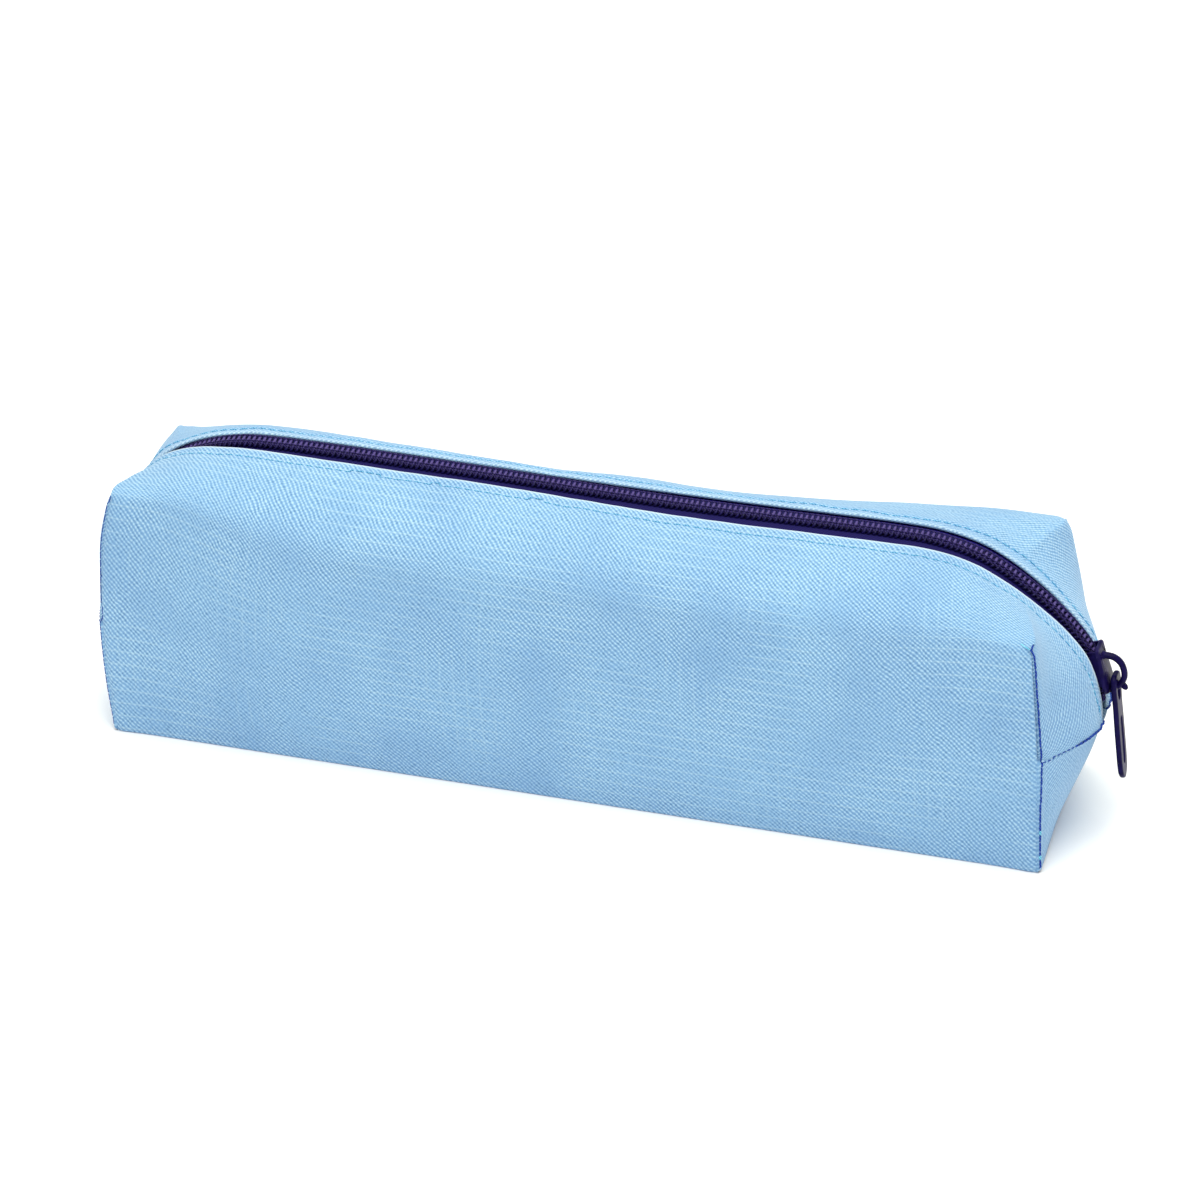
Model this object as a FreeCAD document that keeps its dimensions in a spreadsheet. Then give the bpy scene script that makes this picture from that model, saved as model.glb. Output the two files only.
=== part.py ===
"""Zipped pencil case: a boxed cloth pouch with a coil zipper that runs over both ends.

The pouch lies along X, its base on Z = 0. The zipper follows a ridge in the plane Y = 0:
straight along the top, then a quarter circle down each end to the end seam. The closed
zipper has its slider near the +X end seam.
"""
import FreeCAD, Part, Sketcher
import math
import os

from FreeCAD import Placement, Rotation, Vector

PARAMETERS = {
    # outer form of the pouch
    "length": 216.0,
    "depth": 54.0,
    "ridge_height": 65.8,
    "seam_height": 27.8,
    "end_bulge": 8.0,
    "side_bulge": 1.2,
    "shoulder_height": 52.0,
    "shoulder_inset": 1.5,
    "shoulder_radius": 23.4,
    "ridge_half": 7.4,
    "wall": 1.2,
    # mouth of the pouch
    "mouth_half": 6.4,
    "lip_end": 100.0,
    "joint_gap": 0.35,
    # zipper tapes and coils
    "tape_top": 1.9,
    "tape_thickness": 0.6,
    "tape_inner": 0.4,
    "tape_outer": 12.0,
    "coil_proud": 0.1,
    "coil_half": 2.6,
    "coil_split": 0.05,
    "coil_open_split": 1.35,
    "coil_open_height": 37.4,
    "throat_top": 36.8,
    "throat_bottom": 34.2,
    "throat_gap": 0.3,
    "core_inner": 1.5,
    "core_outer": 2.1,
    "core_top": 0.6,
    "core_bottom": 1.2,
    # sewing threads and seam bindings
    "thread": 0.3,
    "topstitch_line": 9.2,
    "end_thread_start": 0.5,
    "end_thread_gap": 1.0,
    "corner_stitch_top": 46.0,
    "corner_stitch_bottom": 3.0,
    "corner_thread_inset": 0.8,
    "corner_thread_depth": 0.6,
    "binding_inside": 2.4,
    "end_binding_height": 7.0,
    "end_binding_gap": 4.0,
    "corner_binding_width": 5.0,
    # slider, bail and pull
    "slider_angle": 73.0,
    "slider_length": 11.5,
    "slider_nose_width": 9.4,
    "slider_tail_width": 7.2,
    "slider_ceiling": 0.55,
    "slider_floor": -3.35,
    "slider_nose_run": 3.0,
    "slider_nose_flat": 2.3,
    "slider_nose_radius": 4.0,
    "slider_plate": 0.9,
    "slider_flange": 0.7,
    "upper_flange_drop": 1.6,
    "lower_flange_rise": 0.25,
    "slider_post_width": 1.7,
    "slider_post_start": 2.4,
    "slider_post_end": 4.6,
    "bail_centre": 1.0,
    "bail_length": 9.4,
    "bail_rise": 4.2,
    "bail_bar": 1.1,
    "bail_width": 2.0,
    "pull_along": 2.85,
    "pull_out": 2.9,
    "pull_tilt": 7.5,
    "pull_length": 24.5,
    "pull_width": 5.4,
    "pull_tip_width": 4.4,
    "pull_tip_radius": 2.22,
    "pull_corner_drop": 0.6,
    "pull_bar_length": 4.2,
    "pull_thickness": 1.3,
    "pull_eye_width": 3.0,
    "pull_eye_end": 5.6,
}

# names used in expressions, worked out once in the sheet from the cells above
DERIVED = {
    "end_radius": "ridge_height - seam_height",
    "end_centre": "length / 2 + end_bulge - (ridge_height - seam_height)",
    "coil_bottom": "tape_top",
    "tape_bottom": "tape_top + tape_thickness",
}

SIDES = {"front": -1, "back": 1}
ENDS = {"left": -1, "right": 1}

doc = FreeCAD.newDocument("pencil_case")


def make_sheet():
    """Driving dimensions in millimetres and degrees, one aliased cell each."""
    sheet = doc.addObject("Spreadsheet::Sheet", "Params")
    rows = list(PARAMETERS.items()) + [(k, "=" + v) for k, v in DERIVED.items()]
    for row, (name, value) in enumerate(rows, start=1):
        sheet.set(f"A{row}", name)
        sheet.set(f"B{row}", str(value))
        sheet.setAlias(f"B{row}", name)
    doc.recompute()
    return sheet


sheet = make_sheet()
CELLS = sorted(list(PARAMETERS) + list(DERIVED), key=len, reverse=True)


def bound(text):
    """Turn 'length / 2' into an expression on the sheet's cells."""
    words = []
    for word in str(text).replace("(", " ( ").replace(")", " ) ").split():
        words.append(f"Params.{word}" if word in CELLS else word)
    return " ".join(words)


def value(text):
    """The present value of an expression on the sheet's cells."""
    return float(doc.getObject("Params").evalExpression(bound(text)))


def bind(obj, prop, text):
    obj.setExpression(prop, bound(text))


# ---------------------------------------------------------------- sketches

def outline(sketch, corners):
    """Closed outline. Each corner is (x, y) or (x, y, radius): the last form starts an arc
    of that radius to the next corner, turning left when positive and right when negative."""
    points = [Vector(value(c[0]), value(c[1]), 0) for c in corners]
    for i, corner in enumerate(corners):
        start = points[i]
        end = points[(i + 1) % len(corners)]
        if len(corner) == 2:
            sketch.addGeometry(Part.LineSegment(start, end))
            continue
        radius = value(corner[2])
        chord = end - start
        half = chord.Length / 2
        left = Vector(-chord.y, chord.x, 0).normalize()
        sign = 1 if radius > 0 else -1
        to_centre = math.sqrt(radius ** 2 - half ** 2)
        middle = (start + end) * 0.5
        top = middle - left * (sign * (abs(radius) - to_centre))
        sketch.addGeometry(Part.Arc(start, top, end))
    add_outline_constraints(sketch, corners)


def add_outline_constraints(sketch, corners):
    """Tie the edges end to end and bind every corner and radius to the sheet."""
    def ends(index):
        is_right_turn = len(corners[index]) == 3 and value(corners[index][2]) < 0
        return (2, 1) if is_right_turn else (1, 2)

    count = len(corners)
    for i in range(count):
        j = (i + 1) % count
        sketch.addConstraint(Sketcher.Constraint("Coincident", i, ends(i)[1], j, ends(j)[0]))
    for i, corner in enumerate(corners):
        here = ends(i)[0]
        for kind, text in (("DistanceX", corner[0]), ("DistanceY", corner[1])):
            number = sketch.addConstraint(
                Sketcher.Constraint(kind, -1, 1, i, here, value(text)))
            bind(sketch, f"Constraints[{number}]", text)
        if len(corner) == 3:
            size = str(corner[2]).lstrip("-")
            number = sketch.addConstraint(Sketcher.Constraint("Radius", i, value(size)))
            bind(sketch, f"Constraints[{number}]", size)


def plane_of(body, role):
    return next(f for f in body.Origin.OriginFeatures if f.Role == role)


def padded_body(name, role, corners, thickness):
    """A body with one sketch on an origin plane, padded to both sides of it."""
    body = doc.addObject("PartDesign::Body", name)
    body.Label = name
    sketch = body.newObject("Sketcher::SketchObject", name + "_sketch")
    sketch.AttachmentSupport = [(plane_of(body, role), "")]
    sketch.MapMode = "FlatFace"
    outline(sketch, corners)
    pad = body.newObject("PartDesign::Pad", name + "_pad")
    pad.Profile = sketch
    pad.Midplane = True
    bind(pad, "Length", thickness)
    doc.recompute()
    return body


def cut_slot(body, name, role, corners, thickness):
    """A pocket through a body, to both sides of one of its origin planes."""
    sketch = body.newObject("Sketcher::SketchObject", name + "_sketch")
    sketch.AttachmentSupport = [(plane_of(body, role), "")]
    sketch.MapMode = "FlatFace"
    outline(sketch, corners)
    pocket = body.newObject("PartDesign::Pocket", name + "_pocket")
    pocket.Profile = sketch
    pocket.Midplane = True
    bind(pocket, "Length", thickness)
    before = body.Shape.Volume
    doc.recompute()
    if body.Shape.Volume > before - 0.01:
        raise RuntimeError(f"{name} cuts nothing")


# ---------------------------------------------------------------- envelope of the pouch

def envelope(name, inset):
    """The pouch's outer form, taken in by inset on every side: a side view, a section and
    a plan, each made a prism, and what the three have in common."""
    side = padded_body(f"{name}_side", "XZ_Plane", [
        (f"- length / 2 + ( {inset} )", f"{inset}"),
        (f"length / 2 - ( {inset} )", f"{inset}"),
        (f"length / 2 + end_bulge - ( {inset} )", "seam_height", f"end_radius - ( {inset} )"),
        ("end_centre", f"ridge_height - ( {inset} )"),
        ("- end_centre", f"ridge_height - ( {inset} )", f"end_radius - ( {inset} )"),
        (f"- length / 2 - end_bulge + ( {inset} )", "seam_height"),
    ], "depth * 2")
    section = padded_body(f"{name}_section", "YZ_Plane", [
        (f"- depth / 2 + ( {inset} )", f"{inset}"),
        (f"depth / 2 - ( {inset} )", f"{inset}"),
        (f"depth / 2 + side_bulge - ( {inset} )", "seam_height"),
        (f"depth / 2 - shoulder_inset - ( {inset} )", "shoulder_height",
         f"shoulder_radius - ( {inset} )"),
        ("ridge_half", f"ridge_height - ( {inset} )"),
        ("- ridge_half", f"ridge_height - ( {inset} )", f"shoulder_radius - ( {inset} )"),
        (f"- depth / 2 + shoulder_inset + ( {inset} )", "shoulder_height"),
        (f"- depth / 2 - side_bulge + ( {inset} )", "seam_height"),
    ], "length * 2")
    plan_radius = "( ( depth / 2 + side_bulge ) ^ 2 + end_bulge ^ 2 ) / ( 2 * end_bulge )"
    plan = padded_body(f"{name}_plan", "XY_Plane", [
        ("- length / 2", "- depth"),
        ("length / 2", "- depth"),
        (f"length / 2 - ( {inset} )", "- depth / 2 - side_bulge",
         plan_radius),
        (f"length / 2 - ( {inset} )", "depth / 2 + side_bulge"),
        ("length / 2", "depth"),
        ("- length / 2", "depth"),
        (f"- length / 2 + ( {inset} )", "depth / 2 + side_bulge",
         plan_radius),
        (f"- length / 2 + ( {inset} )", "- depth / 2 - side_bulge"),
    ], "ridge_height * 4")
    whole = doc.addObject("Part::MultiCommon", name)
    whole.Shapes = [side, section, plan]
    doc.recompute()
    return whole


envelopes = {}


def envelope_at(inset):
    """One envelope for each inset, made when it is first asked for."""
    if inset not in envelopes:
        envelopes[inset] = envelope(f"form_{len(envelopes)}", inset)
    return envelopes[inset]


def layer(outer, inner):
    """The skin between two insets of the pouch's form."""
    name = f"skin_{envelope_at(outer).Name}_{envelope_at(inner).Name}"
    if doc.getObject(name):
        return doc.getObject(name)
    skin = doc.addObject("Part::Cut", name)
    skin.Base = envelope_at(outer)
    skin.Tool = envelope_at(inner)
    doc.recompute()
    return skin


def region(name, low, high):
    """A box between two corners given as expressions."""
    box = doc.addObject("Part::Box", name)
    for axis, size, start, end in zip("xyz", ("Length", "Width", "Height"), low, high):
        bind(box, size, f"( {end} ) - ( {start} )")
        bind(box, f"Placement.Base.{axis}", start)
    return box


parts = []


def keep(obj, label):
    obj.Label = label
    parts.append(obj)
    return obj


def skin_piece(label, skin, low, high):
    """The part of a skin that lies in a box."""
    piece = doc.addObject("Part::Common", label)
    piece.Base = skin
    piece.Tool = region(label + "_region", low, high)
    doc.recompute()
    return keep(piece, label)


def span(sign, near, far):
    """Low and high ends of a stretch from near to far on the side that sign says."""
    if sign > 0:
        return near, far
    return f"- ( {far} )", f"- ( {near} )"


# ---------------------------------------------------------------- cloth

def make_cloth():
    cloth = layer("0", "wall")
    far_x, far_y, far_z = "length", "depth", "ridge_height * 2"
    end_wall = "length / 2 - wall"
    skin_piece("base_panel", cloth, (f"- {far_x}", f"- {far_y}", "- wall"), (far_x, far_y, "wall"))
    for side, s in SIDES.items():
        low_y, high_y = span(s, "depth / 4", far_y)
        skin_piece(f"{side}_panel_lower", cloth,
                   (f"- ( {end_wall} )", low_y, "wall"), (end_wall, high_y, "seam_height"))
        low_y, high_y = span(s, "mouth_half", far_y)
        skin_piece(f"{side}_panel_upper", cloth,
                   ("- lip_end", low_y, "seam_height + joint_gap"), ("lip_end", high_y, far_z))
    for end, e in ENDS.items():
        low_x, high_x = span(e, end_wall, far_x)
        skin_piece(f"end_panel_lower_{end}", cloth,
                   (low_x, f"- {far_y}", "wall"), (high_x, far_y, "seam_height"))
        low_x, high_x = span(e, "lip_end + joint_gap", far_x)
        for side, s in SIDES.items():
            low_y, high_y = span(s, "mouth_half", far_y)
            skin_piece(f"end_gusset_{side}_{end}", cloth,
                       (low_x, low_y, "seam_height"), (high_x, high_y, far_z))


# ---------------------------------------------------------------- zipper chain

def make_chain():
    """Tapes under the cloth, and on each tape's edge a coil with its core cord. Beyond the
    slider's post the two sides stand apart."""
    tape = layer("tape_top", "tape_bottom")
    coil = layer("- coil_proud", "coil_bottom")
    core = layer("core_top", "core_bottom")
    far_x, top = "length", "ridge_height * 2"
    start = "seam_height + joint_gap"
    for side, s in SIDES.items():
        low_y, high_y = span(s, "0", "coil_open_split")
        parted = region(f"{side}_parted", ("0", low_y, "0"), (far_x, high_y, "coil_open_height"))
        low_y, high_y = span(s, "tape_inner", "tape_outer")
        band = doc.addObject("Part::Common", f"{side}_tape_band")
        band.Base = tape
        band.Tool = region(f"{side}_tape_region", (f"- {far_x}", low_y, start), (far_x, high_y, top))
        strip = doc.addObject("Part::Cut", f"{side}_tape")
        strip.Base = band
        strip.Tool = parted
        keep(strip, f"{side}_tape")

        cord_low, cord_high = span(s, "core_inner", "core_outer")
        cord = skin_piece(f"{side}_core_cord", core,
                          (f"- {far_x}", cord_low, start), (far_x, cord_high, top))

        low_y, high_y = span(s, "coil_split", "coil_half")
        bar = doc.addObject("Part::Common", f"{side}_coil_bar")
        bar.Base = coil
        bar.Tool = region(f"{side}_coil_region", (f"- {far_x}", low_y, start), (far_x, high_y, top))
        throat = region(f"{side}_coil_throat", ("0", "- depth", "throat_bottom"),
                        (far_x, "depth", "throat_top"))
        hollow = doc.addObject("Part::MultiFuse", f"{side}_coil_hollow")
        hollow.Shapes = [cord, parted, throat]
        piece = doc.addObject("Part::Cut", f"{side}_coil")
        piece.Base = bar
        piece.Tool = hollow
        doc.recompute()
        keep(piece, f"{side}_coil")


def make_throat_turns():
    """The turns of both coils that lie in the slider's throat, one on each side of its post."""
    halves = []
    for side, s in SIDES.items():
        half = doc.addObject("Part::Common", f"{side}_throat_turns")
        half.Base = layer("- coil_proud", "coil_bottom")
        low_y, high_y = span(s, "coil_open_split", "coil_half")
        half.Tool = region(f"{side}_throat_region",
                           ("0", low_y, "throat_bottom + throat_gap"),
                           ("length", high_y, "throat_top - throat_gap"))
        cord = doc.addObject("Part::Cut", f"{side}_throat_half")
        cord.Base = half
        cord.Tool = doc.getObject(f"{side}_core_cord")
        halves.append(cord)
    both = doc.addObject("Part::Compound", "throat_turns")
    both.Links = halves
    doc.recompute()
    return keep(both, "throat_turns")


# ---------------------------------------------------------------- threads and bindings

def make_threads():
    stitch = layer("- thread", "0")
    for side, s in SIDES.items():
        low_y, high_y = span(s, "topstitch_line - thread", "topstitch_line + thread")
        skin_piece(f"{side}_topstitch", stitch, ("- lip_end", low_y, "seam_height + joint_gap"),
                   ("lip_end", high_y, "ridge_height * 2"))
    for end, e in ENDS.items():
        low_x, high_x = span(e, "length / 2 + end_thread_start", "length")
        skin_piece(f"end_seam_thread_{end}", stitch,
                   (low_x, "- depth / 2 + end_thread_gap", "seam_height - thread"),
                   (high_x, "depth / 2 - end_thread_gap", "seam_height + thread"))
        low_x, high_x = span(e, "length / 2 - corner_thread_inset", "length")
        for side, s in SIDES.items():
            low_y, high_y = span(s, "depth / 2 - corner_thread_depth", "depth")
            skin_piece(f"corner_thread_{side}_{end}", stitch,
                       (low_x, low_y, "corner_stitch_bottom"), (high_x, high_y, "corner_stitch_top"))


def make_bindings():
    """Folded tapes that bind the raw seam edges and lie flat against the inside of the cloth."""
    inside = layer("wall", "binding_inside")
    for end, e in ENDS.items():
        low_x, high_x = span(e, "length / 2 - binding_inside * 2", "length")
        top = "seam_height - joint_gap"
        skin_piece(f"end_binding_{end}", inside,
                   (low_x, "- depth / 2 + end_binding_gap", f"{top} - end_binding_height"),
                   (high_x, "depth / 2 - end_binding_gap", top))
        low_x, high_x = span(e, "length / 2 - wall * 2 - corner_binding_width",
                             "length / 2 - wall * 2")
        for side, s in SIDES.items():
            low_y, high_y = span(s, "depth / 4", "depth")
            skin_piece(f"corner_binding_{side}_{end}", inside,
                       (low_x, low_y, "corner_stitch_bottom"), (high_x, high_y, "corner_stitch_top"))


# ---------------------------------------------------------------- slider, bail and pull

def track_placement():
    """The slider's place: on the end arc, its nose (+x) towards the end seam, +z outwards."""
    angle = math.radians(value("slider_angle"))
    base = Vector(value("end_centre") + value("end_radius") * math.sin(angle), 0,
                  value("seam_height") + value("end_radius") * math.cos(angle))
    return Placement(base, Rotation(Vector(0, 1, 0), value("slider_angle")))


def pad_between(body, name, corners, low, high):
    """A pad of an outline in the body's XY plane, from height low to height high."""
    sketch = body.newObject("Sketcher::SketchObject", name + "_sketch")
    sketch.AttachmentSupport = [(plane_of(body, "XY_Plane"), "")]
    sketch.MapMode = "FlatFace"
    bind(sketch, "AttachmentOffset.Base.z", low)
    outline(sketch, corners)
    pad = body.newObject("PartDesign::Pad", name + "_pad")
    pad.Profile = sketch
    bind(pad, "Length", f"( {high} ) - ( {low} )")
    doc.recompute()


def make_slider():
    """Two wings joined by a post, each wing with side flanges that hem the chain in."""
    body = doc.addObject("PartDesign::Body", "slider_body")
    pad_between(body, "slider_post", [
        ("slider_post_start", "- slider_post_width / 2"),
        ("slider_post_end", "- slider_post_width / 2"),
        ("slider_post_end", "slider_post_width / 2"),
        ("slider_post_start", "slider_post_width / 2"),
    ], "slider_floor", "slider_ceiling")
    shoulder = "slider_length / 2 - slider_nose_run"
    wing = [
        ("- slider_length / 2", "- slider_tail_width / 2"),
        (shoulder, "- slider_nose_width / 2", "slider_nose_radius"),
        ("slider_length / 2", "- slider_nose_flat"),
        ("slider_length / 2", "slider_nose_flat", "slider_nose_radius"),
        (shoulder, "slider_nose_width / 2"),
        ("- slider_length / 2", "slider_tail_width / 2"),
    ]
    pad_between(body, "upper_wing", wing, "slider_ceiling", "slider_ceiling + slider_plate")
    pad_between(body, "lower_wing", wing, "slider_floor - slider_plate", "slider_floor")
    for side, s in SIDES.items():
        sign = "-" if s < 0 else ""
        flange = [
            ("- slider_length / 2", f"{sign} ( slider_tail_width / 2 - slider_flange )"),
            ("- slider_length / 2", f"{sign} ( slider_tail_width / 2 )"),
            (shoulder, f"{sign} ( slider_nose_width / 2 )"),
            (shoulder, f"{sign} ( slider_nose_width / 2 - slider_flange )"),
        ]
        pad_between(body, f"upper_flange_{side}", flange,
                    "slider_ceiling - upper_flange_drop", "slider_ceiling")
        pad_between(body, f"lower_flange_{side}", flange,
                    "slider_floor", "slider_floor + lower_flange_rise")
    body.Placement = track_placement()
    doc.recompute()
    return keep(body, "slider_body")


def make_bail():
    """The arch on the slider's upper wing that the pull hangs from."""
    foot = "slider_ceiling + slider_plate"
    outer = "bail_length / 2"
    inner = "( bail_length / 2 - bail_bar )"
    rise = "( bail_rise - bail_bar )"
    outer_radius = f"( ( {outer} ) ^ 2 + bail_rise ^ 2 ) / ( 2 * bail_rise )"
    body = padded_body("slider_bail", "XZ_Plane", [
        (f"bail_centre - {outer}", foot),
        (f"bail_centre - {inner}", foot, f"- ( {inner} ^ 2 + {rise} ^ 2 ) / ( 2 * {rise} )"),
        (f"bail_centre + {inner}", foot),
        (f"bail_centre + {outer}", foot, outer_radius),
    ], "bail_width")
    body.Placement = track_placement()
    doc.recompute()
    return keep(body, "slider_bail")


def make_pull():
    """A flat tab with an eye round the bail. It hangs down its own -Z from a round bar across
    the top of the eye, which turns inside the bail."""
    body = padded_body("pull_tab", "YZ_Plane", [
        ("- pull_tip_width / 2", "- pull_length + pull_tip_width / 2", "pull_tip_radius"),
        ("pull_tip_width / 2", "- pull_length + pull_tip_width / 2"),
        ("pull_width / 2", "- pull_eye_end"),
        ("pull_width / 2", "- pull_corner_drop"),
        ("pull_bar_length / 2", "0"),
        ("- pull_bar_length / 2", "0"),
        ("- pull_width / 2", "- pull_corner_drop"),
        ("- pull_width / 2", "- pull_eye_end"),
    ], "pull_thickness")
    cut_slot(body, "pull_eye", "YZ_Plane", [
        ("- pull_eye_width / 2", "- pull_eye_end"),
        ("pull_eye_width / 2", "- pull_eye_end"),
        ("pull_eye_width / 2", "0"),
        ("- pull_eye_width / 2", "0"),
    ], "pull_thickness * 2")
    bar = body.newObject("PartDesign::AdditiveCylinder", "pull_bar")
    bind(bar, "Radius", "pull_thickness / 2")
    bind(bar, "Height", "pull_bar_length")
    bar.Placement = Placement(Vector(0, value("pull_bar_length / 2"), 0),
                              Rotation(Vector(1, 0, 0), 90))
    bind(bar, "Placement.Base.y", "pull_bar_length / 2")
    doc.recompute()
    axis = track_placement().multVec(Vector(value("pull_along"), 0, value("pull_out")))
    body.Placement = Placement(axis, Rotation(Vector(0, 1, 0), -value("pull_tilt")))
    doc.recompute()
    return keep(body, "pull_tab")


# ---------------------------------------------------------------- build, check, write

def check():
    for obj in doc.Objects:
        if "Invalid" in obj.State or "Error" in obj.State:
            raise RuntimeError(f"{obj.Name} failed: {obj.State}")
    for obj in parts:
        if obj.Shape.isNull() or not obj.Shape.isValid():
            raise RuntimeError(f"{obj.Label} has no valid shape")
        print(f"{obj.Label}: {len(obj.Shape.Solids)} solid, {obj.Shape.Volume:.1f} mm3")


def write():
    os.makedirs("parts", exist_ok=True)
    for obj in parts:
        obj.Shape.exportStep(f"parts/{obj.Label}.step")


make_cloth()
make_chain()
make_throat_turns()
make_threads()
make_bindings()
make_slider()
make_bail()
make_pull()
doc.recompute()
check()
write()
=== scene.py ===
"""Light-blue zipped pencil case: cloth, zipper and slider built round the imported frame.

Shapes are worked out in millimetres in the frame's own axes (+X along the case towards the
slider, -Y out of the front wall, +Z up) and turned into metres where a mesh is made.
"""
import math

import bpy
import numpy as np
from mathutils import Matrix, Vector, noise
from mathutils.bvhtree import BVHTree


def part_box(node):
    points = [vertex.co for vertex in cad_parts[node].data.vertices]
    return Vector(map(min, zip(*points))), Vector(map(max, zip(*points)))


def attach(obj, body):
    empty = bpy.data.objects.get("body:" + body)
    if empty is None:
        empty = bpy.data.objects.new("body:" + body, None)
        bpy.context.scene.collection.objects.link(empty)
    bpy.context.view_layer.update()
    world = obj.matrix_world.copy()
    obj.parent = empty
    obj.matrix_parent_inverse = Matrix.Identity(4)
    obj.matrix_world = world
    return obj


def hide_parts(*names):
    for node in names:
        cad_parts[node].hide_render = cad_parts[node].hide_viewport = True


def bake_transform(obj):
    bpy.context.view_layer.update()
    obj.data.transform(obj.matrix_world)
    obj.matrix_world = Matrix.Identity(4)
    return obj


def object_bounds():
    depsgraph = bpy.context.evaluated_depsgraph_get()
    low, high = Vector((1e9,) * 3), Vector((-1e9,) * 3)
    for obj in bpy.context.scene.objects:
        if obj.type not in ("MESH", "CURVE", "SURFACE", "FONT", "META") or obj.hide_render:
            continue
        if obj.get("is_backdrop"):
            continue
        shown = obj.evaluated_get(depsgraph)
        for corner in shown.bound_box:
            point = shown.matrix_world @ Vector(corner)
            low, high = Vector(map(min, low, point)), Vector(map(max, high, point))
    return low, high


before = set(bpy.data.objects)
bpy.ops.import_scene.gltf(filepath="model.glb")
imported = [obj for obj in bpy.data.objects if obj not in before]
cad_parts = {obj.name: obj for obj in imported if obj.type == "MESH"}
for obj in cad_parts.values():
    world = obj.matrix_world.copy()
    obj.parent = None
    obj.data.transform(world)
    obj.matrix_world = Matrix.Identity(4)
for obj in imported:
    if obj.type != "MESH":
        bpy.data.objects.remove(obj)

CAD_BOX = [list(corner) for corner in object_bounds()]
MM = 0.001


def node_box(name):
    """Lowest and highest corner of a CAD node, in millimetres."""
    low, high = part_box(name)
    return np.array(low) / MM, np.array(high) / MM


# ------------------------------------------------------------------ sizes from the frame

HALF_LENGTH = 108.0
HALF_DEPTH = 26.6
SEAM_Z = node_box("front_panel_lower")[1][2]
RIDGE_Z = node_box("front_panel_upper")[1][2]
END_X = node_box("end_panel_lower_right")[1][0]
END_RADIUS = RIDGE_Z - SEAM_Z
END_CENTRE = END_X - END_RADIUS
SLIDER_ANGLE = math.radians(73.0)
CLOTH_THICKNESS = 0.7
WALL_HEIGHT = 52.0      # flat cloth from the base to the shoulder
TOP_WIDTH = 27.0        # flat cloth from the shoulder to the zipper
REACH_SLACK = 1.06      # cloth between two points over the straight distance
MEDIUM_REACH = 26.0     # reach for which the top sheet's directions are given

SIDES = {"front": -1, "back": 1}
ENDS = {"left": -1, "right": 1}


# ------------------------------------------------------------------ small mathematics

def ease(t):
    t = np.clip(t, 0.0, 1.0)
    return t * t * (3 - 2 * t)


def mix(a, b, t):
    return np.asarray(a, float) * (1 - t) + np.asarray(b, float) * t


def unit(v):
    v = np.asarray(v, float)
    return v / max(np.linalg.norm(v), 1e-9)


class Curve:
    """A smooth curve through points, read by the distance along it."""

    def __init__(self, points, per_span=24):
        p = np.asarray(points, float)
        p = np.vstack([2 * p[0] - p[1], p, 2 * p[-1] - p[-2]])
        out = []
        for i in range(1, len(p) - 2):
            k = np.sqrt(np.linalg.norm(np.diff(p[i - 1:i + 3], axis=0), axis=1))
            t0, t1 = 0.0, k[0]
            t2, t3 = t1 + k[1], t1 + k[1] + k[2]
            t = np.linspace(t1, t2, per_span, endpoint=False)[:, None]
            a1 = (t1 - t) / (t1 - t0) * p[i - 1] + (t - t0) / (t1 - t0) * p[i]
            a2 = (t2 - t) / (t2 - t1) * p[i] + (t - t1) / (t2 - t1) * p[i + 1]
            a3 = (t3 - t) / (t3 - t2) * p[i + 1] + (t - t2) / (t3 - t2) * p[i + 2]
            b1 = (t2 - t) / (t2 - t0) * a1 + (t - t0) / (t2 - t0) * a2
            b2 = (t3 - t) / (t3 - t1) * a2 + (t - t1) / (t3 - t1) * a3
            out.append((t2 - t) / (t2 - t1) * b1 + (t - t1) / (t2 - t1) * b2)
        self.p = np.vstack(out + [p[-2][None]])
        self.s = np.concatenate([[0], np.cumsum(np.linalg.norm(np.diff(self.p, axis=0), axis=1))])
        self.length = self.s[-1]

    def at(self, s):
        return np.array([np.interp(s, self.s, self.p[:, k]) for k in range(self.p.shape[1])])

    def part(self, f):
        return self.at(f * self.length)

    def tangent(self, s, step=0.6):
        return unit(self.at(min(s + step, self.length)) - self.at(max(s - step, 0.0)))

    def where(self, axis, value):
        """Distance along at which one coordinate, rising along the curve, reaches a value."""
        return float(np.interp(value, self.p[:, axis], self.s))


# ------------------------------------------------------------------ the line of the zipper

def ridge_points():
    """Side view of the zipper: flat along the top, fuller over the left end than the right."""
    left = [(-END_X, SEAM_Z), (-END_X + 0.3, 34.5), (-END_X + 1.6, 41.5), (-112.0, 49.0),
            (-108.4, 55.2), (-103.0, 60.0), (-96.0, 63.2), (-87.0, 65.1), (-76.0, RIDGE_Z)]
    top = [(-40.0, RIDGE_Z + 0.2), (0.0, RIDGE_Z + 0.1), (40.0, RIDGE_Z), (66.0, RIDGE_Z)]
    right = [(76.0, 65.4), (84.8, 63.5), (91.0, 60.9), (97.0, 57.4), (103.0, 53.0),
             (108.2, 48.2), (111.9, 43.7), (114.4, 38.9), (115.8, 33.5), (END_X + 0.1, SEAM_Z)]
    return [(x, 0.0, z) for x, z in left + top + right]


RIDGE = Curve(ridge_points())
RIDGE_MID = RIDGE.where(0, 0.0)
SLIDER_SPOT = np.array([END_CENTRE + END_RADIUS * math.sin(SLIDER_ANGLE), 0.0,
                        SEAM_Z + END_RADIUS * math.cos(SLIDER_ANGLE)])
SLIDER_S = float(RIDGE.s[np.argmin(np.linalg.norm(RIDGE.p - SLIDER_SPOT, axis=1))])


def ridge_frame(s):
    """Point, direction along, and outward normal of the zipper line at distance s."""
    t = RIDGE.tangent(s)
    return RIDGE.at(s), t, np.array([-t[2], 0.0, t[0]])


def end_distance(s):
    """Distance to the nearer end seam, along the zipper."""
    return min(s, RIDGE.length - s)


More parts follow.
